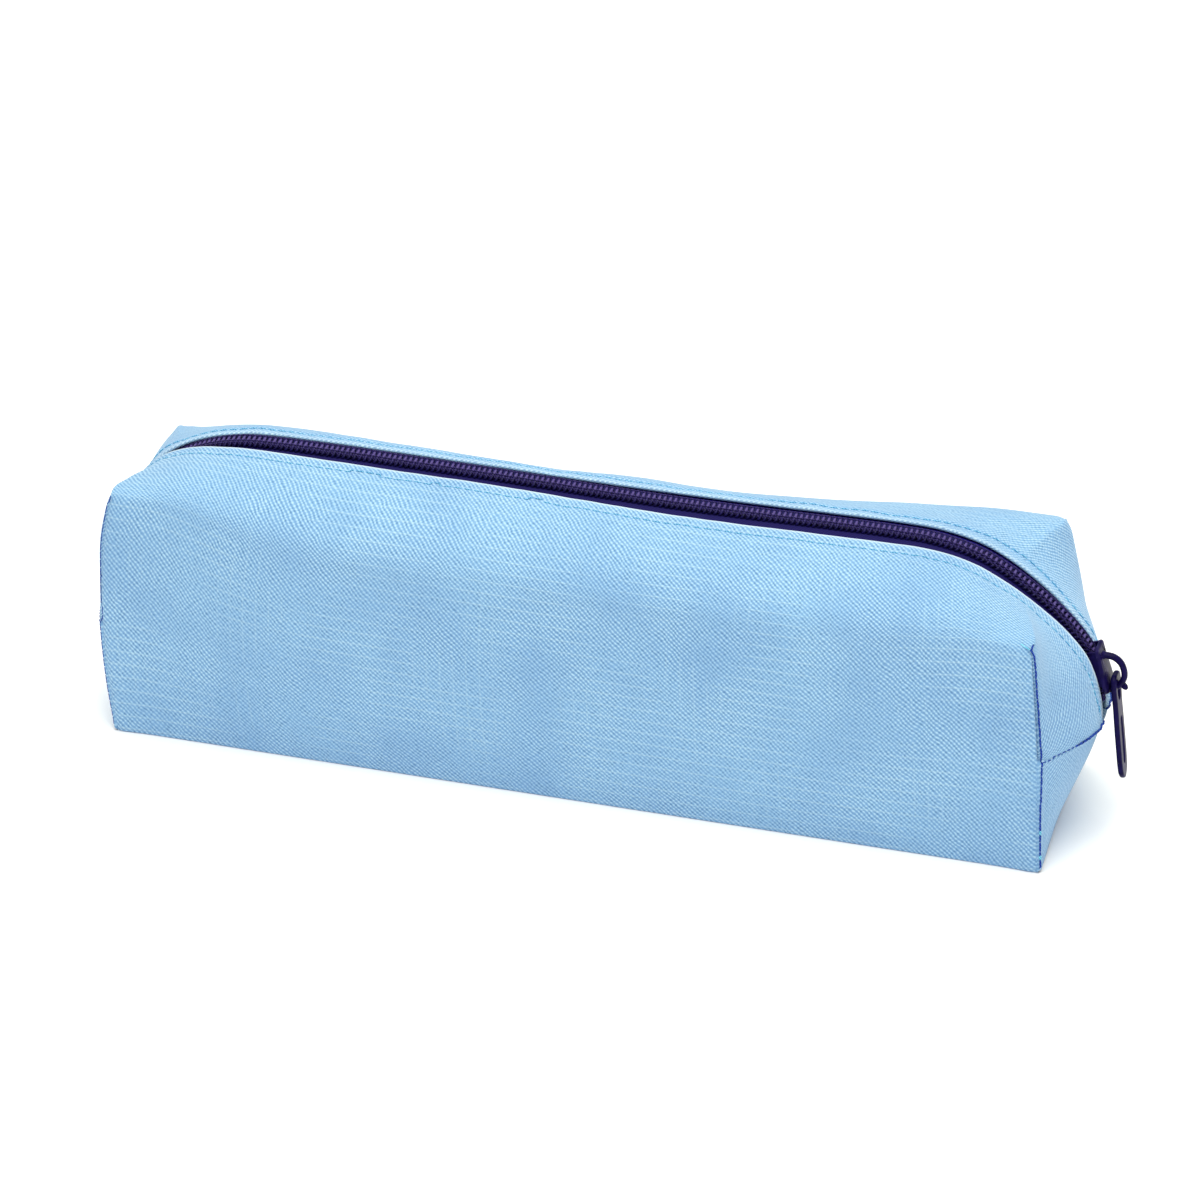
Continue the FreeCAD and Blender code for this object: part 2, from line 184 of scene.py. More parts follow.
def closing(along):
    """How far the cloth closes over the zipper round the left end: 0 to 1."""
    return float(ease((-along - 84.0) / 26.0))


def mouth_half(s, sign=0):
    """From the zipper's middle to a folded cloth edge. The mouth is a little wider towards the
    slider, wanders a little sideways and closes in at the end seams."""
    along = s - RIDGE_MID
    half = mix(4.2, 5.2, ease((along + 30.0) / 60.0)) - 0.7 * ease((along - 85.0) / 25.0)
    if sign < 0:
        half += 1.2 * ease((end_distance(s) - 12.0) / 26.0)
    if sign > 0:
        half += 0.5 * ease((end_distance(s) - 12.0) / 26.0)
    half -= 2.6 * closing(along)
    half -= 1.7 * (1 - closing(along)) * (1 - ease((end_distance(s) - 1.0) / 9.0))
    drift = -0.4 - 1.2 * math.exp(-((along - 15.0) / 32.0) ** 2)
    drift *= ease((end_distance(s) - 50.0) / 50.0)
    return float(half + sign * drift + 0.15 * noise.noise(Vector((s * 0.09, 3.1, sign))))


def lip_share(s, across):
    """How far a point follows its lip: not at all at the end seams, fully in the middle.
    across is 0 at the shoulder or corner seam, where it starts later, and 1 at the zipper."""
    reach = mix(36.0, 6.0, across)
    fade = mix(34.0, 46.0, across)
    return float(ease((end_distance(s) - reach) / fade))


def cloth_share(s, across):
    """The same for the cloth, whose closed folds round the left end are freer than the chain."""
    spread = 0.60 * closing(s - RIDGE_MID) * float(ease(end_distance(s) / 8.0)) * across ** 2
    return max(lip_share(s, across), spread)


def seam_share(half, end, z):
    """The same for a point of a corner seam, by its height."""
    top = TOP_CORNERS[half.side, end][2]
    return lip_share(half.corner_s[end], 0.0) * float(ease((z - SEAM_Z) / (top - SEAM_Z)))


# ------------------------------------------------------------------ the cloth's outline

# top corner, where the corner seam ends: x, depth and height for each of the four corners
TOP_CORNERS = {
    ("front", "right"): (104.0, 27.0, 55.2),
    ("back", "right"): (99.8, 27.2, 61.0),
    ("front", "left"): (-108.6, 27.0, 60.2),
    ("back", "left"): (-109.2, 25.2, 54.2),
}
# how far each corner seam leans out at mid-height
SEAM_BULGE = {
    ("front", "right"): 0.6, ("back", "right"): 2.6, ("front", "left"): 2.6, ("back", "left"): 1.6,
}
# how far the corners of the base lie inside its nominal length
FOOT_INSET = {"front": -0.2, "back": 2.2}


def end_of(c):
    return "right" if c > 0 else "left"


class Half:
    """The front or back half of the cloth: its corner seams, shoulder line and zipper edge."""

    def __init__(self, side):
        self.side = side
        self.sign = SIDES[side]
        self.seams = {}
        self.corner_s = {}
        for end, e in ENDS.items():
            x, y, z = TOP_CORNERS[side, end]
            bulge = e * SEAM_BULGE[side, end]
            foot = np.array([e * (HALF_LENGTH - FOOT_INSET[side]), HALF_DEPTH, 0.0])
            mid = np.array([mix(foot[0], x, 0.45) + bulge, HALF_DEPTH + 0.7, SEAM_Z])
            upper = np.array([mix(foot[0], x, 0.75) + bulge * 0.8, y + 0.5, mix(SEAM_Z, z, 0.55)])
            lower = np.array([mix(foot[0], x, 0.22) + bulge * 0.6, HALF_DEPTH + 0.5, SEAM_Z * 0.45])
            self.seams[end] = Curve([foot, lower, mid, upper, np.array([x, y, z])])
            self.corner_s[end] = RIDGE.where(0, x - e * 6.0)
        fl, fr = np.array(TOP_CORNERS[side, "left"]), np.array(TOP_CORNERS[side, "right"])
        middle = {"front": [(-70, 52.2), (-25, 51.0), (25, 51.0), (65, 51.8)],
                  "back": [(-70, 51.0), (-25, 50.4), (10, 50.8), (42, 54.5), (66, 58.0)]}[side]
        before = mix(fl, (0, 27.0, middle[0][1]), 0.13)
        after = mix(fr, (0, 27.0, middle[-1][1]), 0.13)
        self.shoulder = Curve([fl, before] + [(x, 26.9, z) for x, z in middle] + [after, fr])
        self.seam_mid = {end: self.seams[end].where(2, SEAM_Z) for end in ENDS}

    def edge_point(self, s):
        """The cloth's folded edge beside the zipper."""
        p, _, n = ridge_frame(s)
        proud = -0.3
        if self.sign < 0:
            proud += 0.6 * float(ease((abs(s - RIDGE_MID) - 60) / 30))
        proud += 0.4 * closing(s - RIDGE_MID)
        return p + n * proud + np.array([0.0, mouth_half(s, self.sign), 0.0])

    def outer(self, c):
        """Outer edge of the top sheet. c runs from -2 to 2: the corners are at -1 and 1, and
        beyond them it goes down the corner seams to the end seams."""
        if abs(c) <= 1:
            return self.shoulder.part((c + 1) / 2)
        end = end_of(c)
        seam = self.seams[end]
        return seam.at(mix(seam.length, self.seam_mid[end], abs(c) - 1))

    def zipper_s(self, c):
        """Distance along the zipper opposite the outer edge's point c."""
        left, right = self.corner_s["left"], self.corner_s["right"]
        if abs(c) <= 1:
            return mix(left, right, (c + 1) / 2)
        if c > 0:
            return mix(right, RIDGE.length, c - 1)
        return mix(left, 0.0, -c - 1)


def bezier(p0, p1, p2, p3, t):
    return ((1 - t) ** 3 * p0 + 3 * (1 - t) ** 2 * t * p1
            + 3 * (1 - t) * t ** 2 * p2 + t ** 3 * p3)


def top_point(half, c, t):
    """The top sheet: t is 0 at the shoulder or corner seam and 1 at the zipper."""
    q = half.outer(c)
    s = half.zipper_s(c)
    z = half.edge_point(s)
    _, along, normal = ridge_frame(s)
    e = 1 if c > 0 else -1
    # leaving the outer edge: up the wall in the middle, round the end past a corner
    shoulder = np.array([0.0, -1.4, 7.2]) if half.sign < 0 else np.array([0.0, -2.4, 5.2])
    boxed = np.array([e * 1.6, -7.0, 2.4])
    gusset = np.array([e * 3.2, -6.8, 0.4])
    k = abs(c)
    if k <= 1:
        leave = mix(shoulder, boxed, ease((k - 0.80) / 0.20) ** 1.5)
    else:
        leave = mix(boxed, gusset, ease((k - 1) / 0.45))
    reach = np.linalg.norm(z - q)
    leave = leave * (reach / MEDIUM_REACH)
    arrive = np.array([0.0, 8.5, 0.0]) * (reach / MEDIUM_REACH) - normal * 0.9
    if e < 0 and half.sign > 0:
        fullness = float(ease((k - 0.9) / 0.3) * (1 - ease((k - 1.5) / 0.5)))
        leave = leave + np.array([-3.2, 0.0, 0.6]) * fullness
        arrive = arrive + normal * 2.4 * fullness
    return bezier(q, q + leave, z + arrive, z, t)


def front_point(half, f, v):
    """The upright wall: f is 0 to 1 from left to right, v from the base to the shoulder."""
    left, right = half.seams["left"].part(v), half.seams["right"].part(v)
    top = half.shoulder.part(f)
    foot = mix(half.seams["left"].p[0], half.seams["right"].p[0], f)
    corner = mix(mix(half.seams["left"].p[0], half.seams["right"].p[0], f),
                 mix(half.seams["left"].p[-1], half.seams["right"].p[-1], f), v)
    p = mix(foot, top, v) + mix(left, right, f) - corner
    belly = math.sin(math.pi * min(max(v, 0), 1)) ** 0.8 * (1 - (2 * f - 1) ** 6)
    return p + np.array([0.0, 1.0 * belly, 0.0])


def end_point(end, g, v):
    """The lower end panel: g is 0 at the front and 1 at the back, v is 0 at the base and 1 at
    the end seam."""
    e = ENDS[end]
    front, back = HALVES["front"], HALVES["back"]
    seam_f, seam_b = front.seams[end], back.seams[end]
    a = seam_f.at(v * front.seam_mid[end]) * (1, -1, 1)
    b = seam_b.at(v * back.seam_mid[end])
    flat = mix(a, b, g)
    bow = 1 - (2 * g - 1) ** 2
    apex = END_X - abs(mix(seam_f.at(front.seam_mid[end]), seam_b.at(back.seam_mid[end]), 0.5)[0])
    swell = mix(-0.6, apex, v ** 1.08)
    return flat + np.array([e * bow * swell, 0.0, -0.5 * bow * v])


# ------------------------------------------------------------------ mesh helpers

def put_in_scene(name, data):
    obj = bpy.data.objects.new(name, data)
    bpy.context.scene.collection.objects.link(obj)
    return obj


def mesh_object(name, points, faces, material, attributes=None, smooth=True):
    """An object at the origin from points in millimetres."""
    mesh = bpy.data.meshes.new(name)
    mesh.from_pydata([tuple(p) for p in np.asarray(points, float) * MM], [], faces)
    for key, values in (attributes or {}).items():
        values = np.asarray(values, np.float32)
        kind = "FLOAT" if values.ndim == 1 else "FLOAT_VECTOR"
        layer = mesh.attributes.new(key, kind, "POINT")
        layer.data.foreach_set("value" if values.ndim == 1 else "vector", values.ravel())
    mesh.validate()
    mesh.polygons.foreach_set("use_smooth", [smooth] * len(mesh.polygons))
    mesh.materials.append(material)
    return put_in_scene(name, mesh)


def bake_modifiers(obj):
    """Apply every modifier to the object's mesh."""
    graph = bpy.context.evaluated_depsgraph_get()
    graph.update()
    done = bpy.data.meshes.new_from_object(obj.evaluated_get(graph), depsgraph=graph)
    old = obj.data
    obj.modifiers.clear()
    obj.data = done
    bpy.data.meshes.remove(old)
    done.name = obj.name
    return obj


def thicken(obj, thickness):
    """Give a sheet its thickness, inwards, and round it off."""
    solid = obj.modifiers.new("thickness", "SOLIDIFY")
    solid.thickness = thickness * MM
    solid.offset = -1.0
    subdivide(obj)
    bake_modifiers(obj)


def subdivide(obj, levels=1):
    modifier = obj.modifiers.new("subdivide", "SUBSURF")
    modifier.levels = modifier.render_levels = levels
    modifier.boundary_smooth = "PRESERVE_CORNERS"
    return obj


def follow_lip(obj, side):
    """Read the share stored on a piece's points and bake the object's placement into its mesh; the
    piece is not reshaped.
    """
    share = np.zeros(len(obj.data.vertices), np.float32)
    obj.data.attributes["lip"].data.foreach_get("value", share)
    low, high = (0, 0, SEAM_Z * MM), (0, 0, RIDGE_Z * MM)
    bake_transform(obj)
    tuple(low)
    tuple(high)
    return obj


def quads(index):
    """Faces of a grid of vertex numbers."""
    index = np.asarray(index)
    out = []
    for r in range(index.shape[0] - 1):
        for c in range(index.shape[1] - 1):
            face = [index[r, c], index[r, c + 1], index[r + 1, c + 1], index[r + 1, c]]
            out.append([int(v) for v in face])
    return out


class Soup:
    """Points, faces and point attributes gathered into one mesh."""

    def __init__(self, *names):
        self.points, self.faces = [], []
        self.extra = {name: [] for name in names}

    def add(self, points, faces, **values):
        start = len(self.points)
        self.points.extend(points)
        self.faces.extend([[v + start for v in face] for face in faces])
        for name in self.extra:
            value = values[name]
            self.extra[name].extend([value] * len(points) if np.ndim(value) == 0 else value)

    def build(self, name, material):
        return mesh_object(name, self.points, self.faces, material,
                           {k: np.array(v) for k, v in self.extra.items()})


def tube(centres, radius, sides=8, closed=False, flat=1.0, up=(0, 1, 0), ends=True):
    """Points and faces of a tube along centres. radius may be a number or one per centre."""
    centres = np.asarray(centres, float)
    count = len(centres)
    radii = np.broadcast_to(radius, count)
    points, faces = [], []
    up = np.asarray(up, float)
    for i, p in enumerate(centres):
        before = centres[i - 1] if (i or closed) else centres[i]
        after = centres[(i + 1) % count] if (i + 1 < count or closed) else centres[i]
        t = unit(after - before)
        a = unit(np.cross(t, up)) if abs(t @ up) < 0.95 else unit(np.cross(t, (1, 0.2, 0.1)))
        b = np.cross(a, t)
        for j in range(sides):
            w = 2 * math.pi * j / sides
            points.append(p + radii[i] * (math.cos(w) * a + flat * math.sin(w) * b))
    loops = count if closed else count - 1
    for i in range(loops):
        for j in range(sides):
            k = (i + 1) % count
            faces.append([i * sides + j, i * sides + (j + 1) % sides,
                          k * sides + (j + 1) % sides, k * sides + j])
    if ends and not closed:
        faces.append(list(range(sides))[::-1])
        faces.append([(count - 1) * sides + j for j in range(sides)])
    return points, faces


# ------------------------------------------------------------------ materials

class Graph:
    """A new material with a principled shader, and short words for wiring its nodes."""

    def __init__(self, name):
        self.material = bpy.data.materials.new(name)
        self.material.use_nodes = True
        self.tree = self.material.node_tree
        self.tree.nodes.clear()
        out = self.node("ShaderNodeOutputMaterial")
        self.shader = self.node("ShaderNodeBsdfPrincipled")
        self.link(self.shader.outputs["BSDF"], out.inputs["Surface"])

    def surface(self, colour, rough, normal=None, **plain):
        """Wire the shader's colour, roughness and normal, and set its plain sockets."""
        self.link(colour, self.shader.inputs["Base Color"])
        self.link(rough, self.shader.inputs["Roughness"])
        if normal:
            self.link(normal, self.shader.inputs["Normal"])
        for key, value in plain.items():
            self.shader.inputs[key.replace("_", " ")].default_value = value
        return self.material

    def flat_cloth(self):
        """The flat cloth's own coordinates in millimetres: along the zipper and across it."""
        attribute = self.node("ShaderNodeAttribute", attribute_name="cloth")
        split = self.node("ShaderNodeSeparateXYZ")
        self.link(attribute.outputs["Vector"], split.inputs[0])
        return split.outputs["X"], split.outputs["Y"]

    def node(self, kind, **settings):
        n = self.tree.nodes.new(kind)
        for key, value in settings.items():
            setattr(n, key, value)
        return n

    def link(self, a, b):
        self.tree.links.new(a, b)

    def put(self, socket, value):
        if hasattr(value, "links"):
            self.link(value, socket)
        else:
            socket.default_value = value

    def math(self, operation, a, b=0.0, c=0.0, clamp=False):
        n = self.node("ShaderNodeMath", operation=operation, use_clamp=clamp)
        for socket, value in zip(n.inputs, (a, b, c)):
            self.put(socket, value)
        return n.outputs[0]

    def ramp(self, value, low, high, from_low=0.0, from_high=1.0):
        n = self.node("ShaderNodeMapRange", clamp=True)
        for name, v in (("Value", value), ("From Min", from_low), ("From Max", from_high),
                        ("To Min", low), ("To Max", high)):
            self.put(n.inputs[name], v)
        return n.outputs[0]

    def noise(self, vector, scale, detail=2.0, rough=0.5):
        n = self.node("ShaderNodeTexNoise")
        self.put(n.inputs["Vector"], vector)
        n.inputs["Scale"].default_value = scale
        n.inputs["Detail"].default_value = detail
        n.inputs["Roughness"].default_value = rough
        return n.outputs["Fac"]

    def colour(self, fac, a, b):
        n = self.node("ShaderNodeMix", data_type="RGBA")
        self.put(n.inputs["Factor"], fac)
        self.put(n.inputs["A"], a)
        self.put(n.inputs["B"], b)
        return n.outputs["Result"]

    def bump(self, height, distance, strength=1.0, normal=None):
        n = self.node("ShaderNodeBump")
        n.inputs["Strength"].default_value = strength
        n.inputs["Distance"].default_value = distance
        self.link(height, n.inputs["Height"])
        if normal:
            self.link(normal, n.inputs["Normal"])
        return n.outputs["Normal"]

    def place(self):
        return self.node("ShaderNodeTexCoord").outputs["Object"]


def rgb(r, g, b):
    """Linear colour from 0-255 display values."""
    def linear(v):
        v /= 255.0
        return v / 12.92 if v <= 0.04045 else ((v + 0.055) / 1.055) ** 2.4
    return (linear(r), linear(g), linear(b), 1.0)


TWILL_PITCH = 1.15
CLOTH_DEEP = rgb(112, 156, 200)
CLOTH_MID = rgb(122, 167, 208)
CLOTH_LIGHT = rgb(182, 216, 233)
CLOTH_DARK = rgb(62, 106, 152)
CLOTH_LINE = rgb(186, 218, 232)
# painted highlight colour: the thin light rim along the cloth's fold beside the zipper
CLOTH_HIGHLIGHT = rgb(226, 238, 242)
NAVY_DARK = rgb(14, 9, 58)


def cloth_material():
    """Plain-dyed cloth: a fine diagonal grain and thin lighter ripstop lines. Works in the
    flat cloth's own coordinates, in millimetres, so the lines follow the fabric."""
    g = Graph("sky_blue_cloth")
    u, v = g.flat_cloth()
    place = g.place()

    def wave(value, period, shift=0.0):
        angle = g.math("MULTIPLY_ADD", value, 2 * math.pi / period, shift)
        return g.math("SINE", angle)

    wobble = g.math("MULTIPLY", g.noise(place, 260.0, 2.0), 8.0)
    across = g.math("ADD", g.math("MULTIPLY", u, 2 * math.pi / TWILL_PITCH), wobble)
    along = g.math("MULTIPLY", v, 2 * math.pi / TWILL_PITCH)
    twill = g.math("SINE", g.math("ADD", across, along))
    shuffle = g.math("MULTIPLY", g.noise(place, 640.0, 2.0), 9.0)
    counter = g.math("SINE", g.math("ADD", shuffle, g.math("SUBTRACT", across, along)))
    grain = g.math("MULTIPLY_ADD", twill, 0.34, g.math("MULTIPLY_ADD", counter, 0.16, 0.5))

    def rip(value, period, patch_scale, threshold):
        """Thin lines at a period that fade in and out along their length."""
        peak = g.math("POWER", g.math("ABSOLUTE", wave(value, period * 2)), 60.0)
        patch = g.ramp(g.noise(place, patch_scale, 1.0), 0.0, 1.0, threshold, threshold + 0.16)
        return g.math("MULTIPLY", peak, patch)

    lengthwise = rip(v, 2.9, 38.0, 0.40)
    upright = g.math("MULTIPLY", rip(u, 2.9, 60.0, 0.52), 0.55)
    lines = g.math("MAXIMUM", lengthwise, upright)

    blotch = g.noise(place, 34.0, 3.0)
    base = g.colour(g.ramp(blotch, 0.0, 1.0, 0.30, 0.70), CLOTH_DEEP, CLOTH_MID)
    strength = g.ramp(g.noise(place, 90.0, 2.0), 0.6, 0.9, 0.35, 0.65)
    lit = g.math("MULTIPLY", g.ramp(grain, 0.0, 0.85, 0.46, 0.90), strength)
    shaded = g.colour(lit, base, CLOTH_LIGHT)
    speck = g.ramp(g.noise(place, 1100.0, 1.0), 0.25, 1.0, 0.46, 0.62)
    hollow = g.math("MULTIPLY", g.ramp(grain, 0.62, 0.0, 0.04, 0.46), speck)
    specked = g.colour(hollow, shaded, CLOTH_DARK)
    lined = g.colour(g.math("MULTIPLY", lines, 0.32), specked, CLOTH_LINE)
    # painted highlight: the fold beside the zipper is lightened towards a pale rim, more on the
    # front half
    rim_highlight = g.node("ShaderNodeAttribute", attribute_name="fold_highlight")
    final = g.colour(g.math("MULTIPLY", rim_highlight.outputs["Fac"], 0.6), lined, CLOTH_HIGHLIGHT)

    height = g.math("MULTIPLY_ADD", lines, 0.6, grain)
    fine = g.bump(height, 0.00012, 0.8)
    soft = g.bump(g.noise(place, 120.0, 2.0), 0.0004, 0.35, fine)
    return g.surface(final, g.ramp(grain, 0.74, 0.86), soft, Sheen_Weight=0.25,
                     Sheen_Roughness=0.5, Sheen_Tint=rgb(225, 238, 255), Specular_IOR_Level=0.25)


def tape_material():
    """Navy woven zipper tape with fine ribs along its length."""
    g = Graph("navy_tape")
    u, v = g.flat_cloth()
    rib = g.math("SINE", g.math("MULTIPLY", v, 2 * math.pi / 0.5))
    pick = g.math("SINE", g.math("MULTIPLY_ADD", u, 2 * math.pi / 0.7,
                                 g.math("MULTIPLY", v, 6.0)))
    weave = g.math("MULTIPLY_ADD", rib, 0.25, g.math("MULTIPLY_ADD", pick, 0.25, 0.5))
    edge = g.ramp(g.math("ABSOLUTE", v), 0.0, 1.0, 4.2, 5.2)
    body = g.colour(g.ramp(weave, 0.0, 0.8), NAVY_DARK, rgb(22, 16, 96))
    lit = g.colour(g.math("MULTIPLY", edge, 0.8), body, rgb(26, 16, 128))
    return g.surface(lit, g.ramp(weave, 0.85, 0.7), g.bump(weave, 0.0001, 0.8),
                     Specular_IOR_Level=0.15)


def coil_material():
    """Navy nylon monofilament: satin, with a painted purple highlight near the top of each turn."""
    g = Graph("navy_coil")
    place = g.place()
    mottled = g.noise(place, 900.0, 2.0)
    # painted highlight: the purple goes on the crest of each turn, a lighter band near its top
    attribute = g.node("ShaderNodeAttribute", attribute_name="bend")
    bend = attribute.outputs["Fac"]
    body = g.colour(g.ramp(mottled, 0.0, 1.0, 0.35, 0.65), rgb(12, 7, 56), rgb(22, 14, 80))
    return g.surface(g.colour(g.math("MULTIPLY", bend, 0.8), body, rgb(94, 80, 146)),
                     g.ramp(mottled, 0.34, 0.46),
                     g.bump(g.noise(place, 2200.0, 1.0), 0.00002, 0.4), IOR=1.3)


def thread_material(name, light, dark):
    """Spun sewing thread: plies twisted round each other."""
    g = Graph(name)
    place = g.place()
    wave = g.node("ShaderNodeTexWave", bands_direction="DIAGONAL")
    g.link(place, wave.inputs["Vector"])
    wave.inputs["Scale"].default_value = 900.0
    wave.inputs["Distortion"].default_value = 2.0
    twist = wave.outputs["Fac"]
    return g.surface(g.colour(twist, dark, light), g.ramp(twist, 0.75, 0.55),
                     g.bump(twist, 0.00005, 0.8), Specular_IOR_Level=0.2)


def enamel_material():
    """Navy stoved enamel over a die casting: glossy, with a faint orange peel; its edges are
    lighter, partly from real abrasion and partly as a painted highlight line.
    """
    g = Graph("navy_enamel")
    place = g.place()
    peel = g.noise(place, 700.0, 2.0)
    geometry = g.node("ShaderNodeNewGeometry")
    # lighter edges: partly real abrasion of the rims, partly a painted highlight line along them
    edge = g.ramp(geometry.outputs["Pointiness"], 0.0, 1.0, 0.53, 0.62)
    rim_highlight = g.math("MULTIPLY", edge, g.ramp(g.noise(place, 420.0, 3.0), 0.1, 0.8, 0.4, 0.7))
    body = g.colour(g.ramp(peel, 0.0, 1.0, 0.3, 0.7), rgb(13, 8, 50), rgb(22, 14, 70))
    return g.surface(g.colour(g.math("MULTIPLY", rim_highlight, 0.5), body, rgb(80, 68, 132)),
                     g.ramp(peel, 0.26, 0.38), g.bump(peel, 0.00003, 0.35), IOR=1.14)


def binding_material():
    """Pale blue ribbed binding tape inside the seams."""
    g = Graph("binding_tape")
    place = g.place()
    wave = g.node("ShaderNodeTexWave", bands_direction="Z")
    g.link(place, wave.inputs["Vector"])
    wave.inputs["Scale"].default_value = 420.0
    wave.inputs["Distortion"].default_value = 0.6
    rib = wave.outputs["Fac"]
    return g.surface(g.colour(rib, rgb(118, 168, 214), rgb(160, 202, 236)),
                     g.ramp(rib, 0.9, 0.75), g.bump(rib, 0.00012, 0.7))


def floor_material():
    """Pale matt studio floor."""
    g = Graph("studio_floor")
    place = g.place()
    cloud = g.noise(place, 3.0, 2.0)
    return g.surface(g.colour(cloud, rgb(250, 250, 251), rgb(254, 254, 254)),
                     g.ramp(cloud, 0.85, 0.95), Specular_IOR_Level=0.1)


CLOTH = cloth_material()
TAPE = tape_material()
COIL = coil_material()
ENAMEL = enamel_material()
BINDING = binding_material()
TOPSTITCH = thread_material("teal_thread", rgb(120, 190, 222), rgb(52, 124, 176))
SEAM_THREAD = thread_material("navy_thread", rgb(40, 84, 180), rgb(16, 32, 112))
KNOT_THREAD = thread_material("cyan_thread", rgb(150, 224, 240), rgb(78, 176, 212))
CHAIN_THREAD = thread_material("chain_thread", rgb(56, 44, 112), rgb(12, 7, 52))


# ------------------------------------------------------------------ the cloth

def spaced(near, grow, far, total, both=True):
    """Steps that start small at an end of a stretch, grow, and stay even in the middle."""
    steps = []
    step = near
    while step < far and sum(steps) < total / 2:
        steps.append(step)
        step *= grow
    if both:
        rest = total - 2 * sum(steps)
        count = max(1, round(rest / far))
        steps = steps + [rest / count] * count + steps[::-1]
    else:
        rest = total - sum(steps)
        count = max(1, round(rest / far))
        steps = steps + [rest / count] * count
    return np.concatenate([[0], np.cumsum(steps)]) / total


STITCH_LINE = 2.9
GUSSET_LENGTH = 27.0
SEAM_ALLOWANCE = 2.2
SETTLE_FRAMES = 20
SETTLE_CAP = 1.3


def seam_relief(*distances):
    """Depth of the cloth near sewn seams: held at the thread, puffed out beside it."""
    held, near = 1.0, 0.0
    for distance in distances:
        held *= 1 - math.exp(-(distance / 0.9) ** 2)
        near = max(near, math.exp(-(distance / 5.5) ** 2))
    return 0.62 * held * near


def wander(x, y, scale, seed):
    return noise.noise(Vector((x * scale, y * scale, seed)))


def top_relief(half, c, t, s, reach):
    """Relief of the top sheet: the stitched channel beside the zipper, its gathers, and the
    seams at the ends."""
    d = (1 - t) * reach
    seed = 10.0 + half.sign
    depth = -0.38 * math.exp(-((d - STITCH_LINE) / 0.55) ** 2)
    depth += 0.22 * math.exp(-((d - 1.3) / 0.8) ** 2)
    depth += 0.16 * math.exp(-((d - 4.6) / 1.4) ** 2)
    gather = wander(s, 0.0, 0.17, seed) + 0.6 * wander(s, 0.0, 0.41, seed + 5)
    depth += 0.42 * gather * math.exp(-((d - 4.0) / 4.2) ** 2)
    depth += 0.7 * wander(s, d, 0.045, seed + 9) * ease(d / 9.0)
    if abs(c) > 1:
        gone = (abs(c) - 1) * (half.seams[end_of(c)].length - half.seam_mid[end_of(c)])
        puff = seam_relief(t * reach, (2 - abs(c)) * GUSSET_LENGTH)
        depth += puff * ease(gone / 4.0) * (1 - ease((t - 0.90) / 0.10))
    return depth


def front_relief(half, f, v, x, z):
    """Relief of the upright wall: slack waves, pinched corner seams and the base fold."""
    seed = 30.0 + half.sign
    depth = 0.40 * wander(x, z, 0.028, seed) + 0.14 * wander(x, z * 1.6, 0.07, seed + 4)
    depth *= ease(z / 12.0)
    width = half.shoulder.length
    distance = min(f, 1 - f) * width
    near_top = 1 - ease((v - 0.93) / 0.07)
    return depth * ease(distance / 8.0) + seam_relief(distance) * near_top


def pucker(half, p):
    """Creases that run out of the top of each corner seam."""
    total = 0.0
    for end, e in ENDS.items():
        k = np.array(TOP_CORNERS[half.side, end])
        offset = (p - k) * (e, 1, 1)
        r = np.linalg.norm(offset)
        if r > 16:
            continue
        turn = math.atan2(offset[2], -offset[0])
        ray = math.exp(-((turn - 0.75) / 0.28) ** 2) + 0.7 * math.exp(-((turn + 0.15) / 0.25) ** 2)
        total -= 0.75 * ray * (r / 3.0) * math.exp(-r / 4.0)
        total -= 0.9 * math.exp(-(r / 1.2) ** 2)
    return total


def foot_x(end, w):
    """Where an end's lower edge lies, from the back corner (w = -1) to the front one (w = 1)."""
    return end_point(end, 0.5 * (1 - w), 0.0)[0]


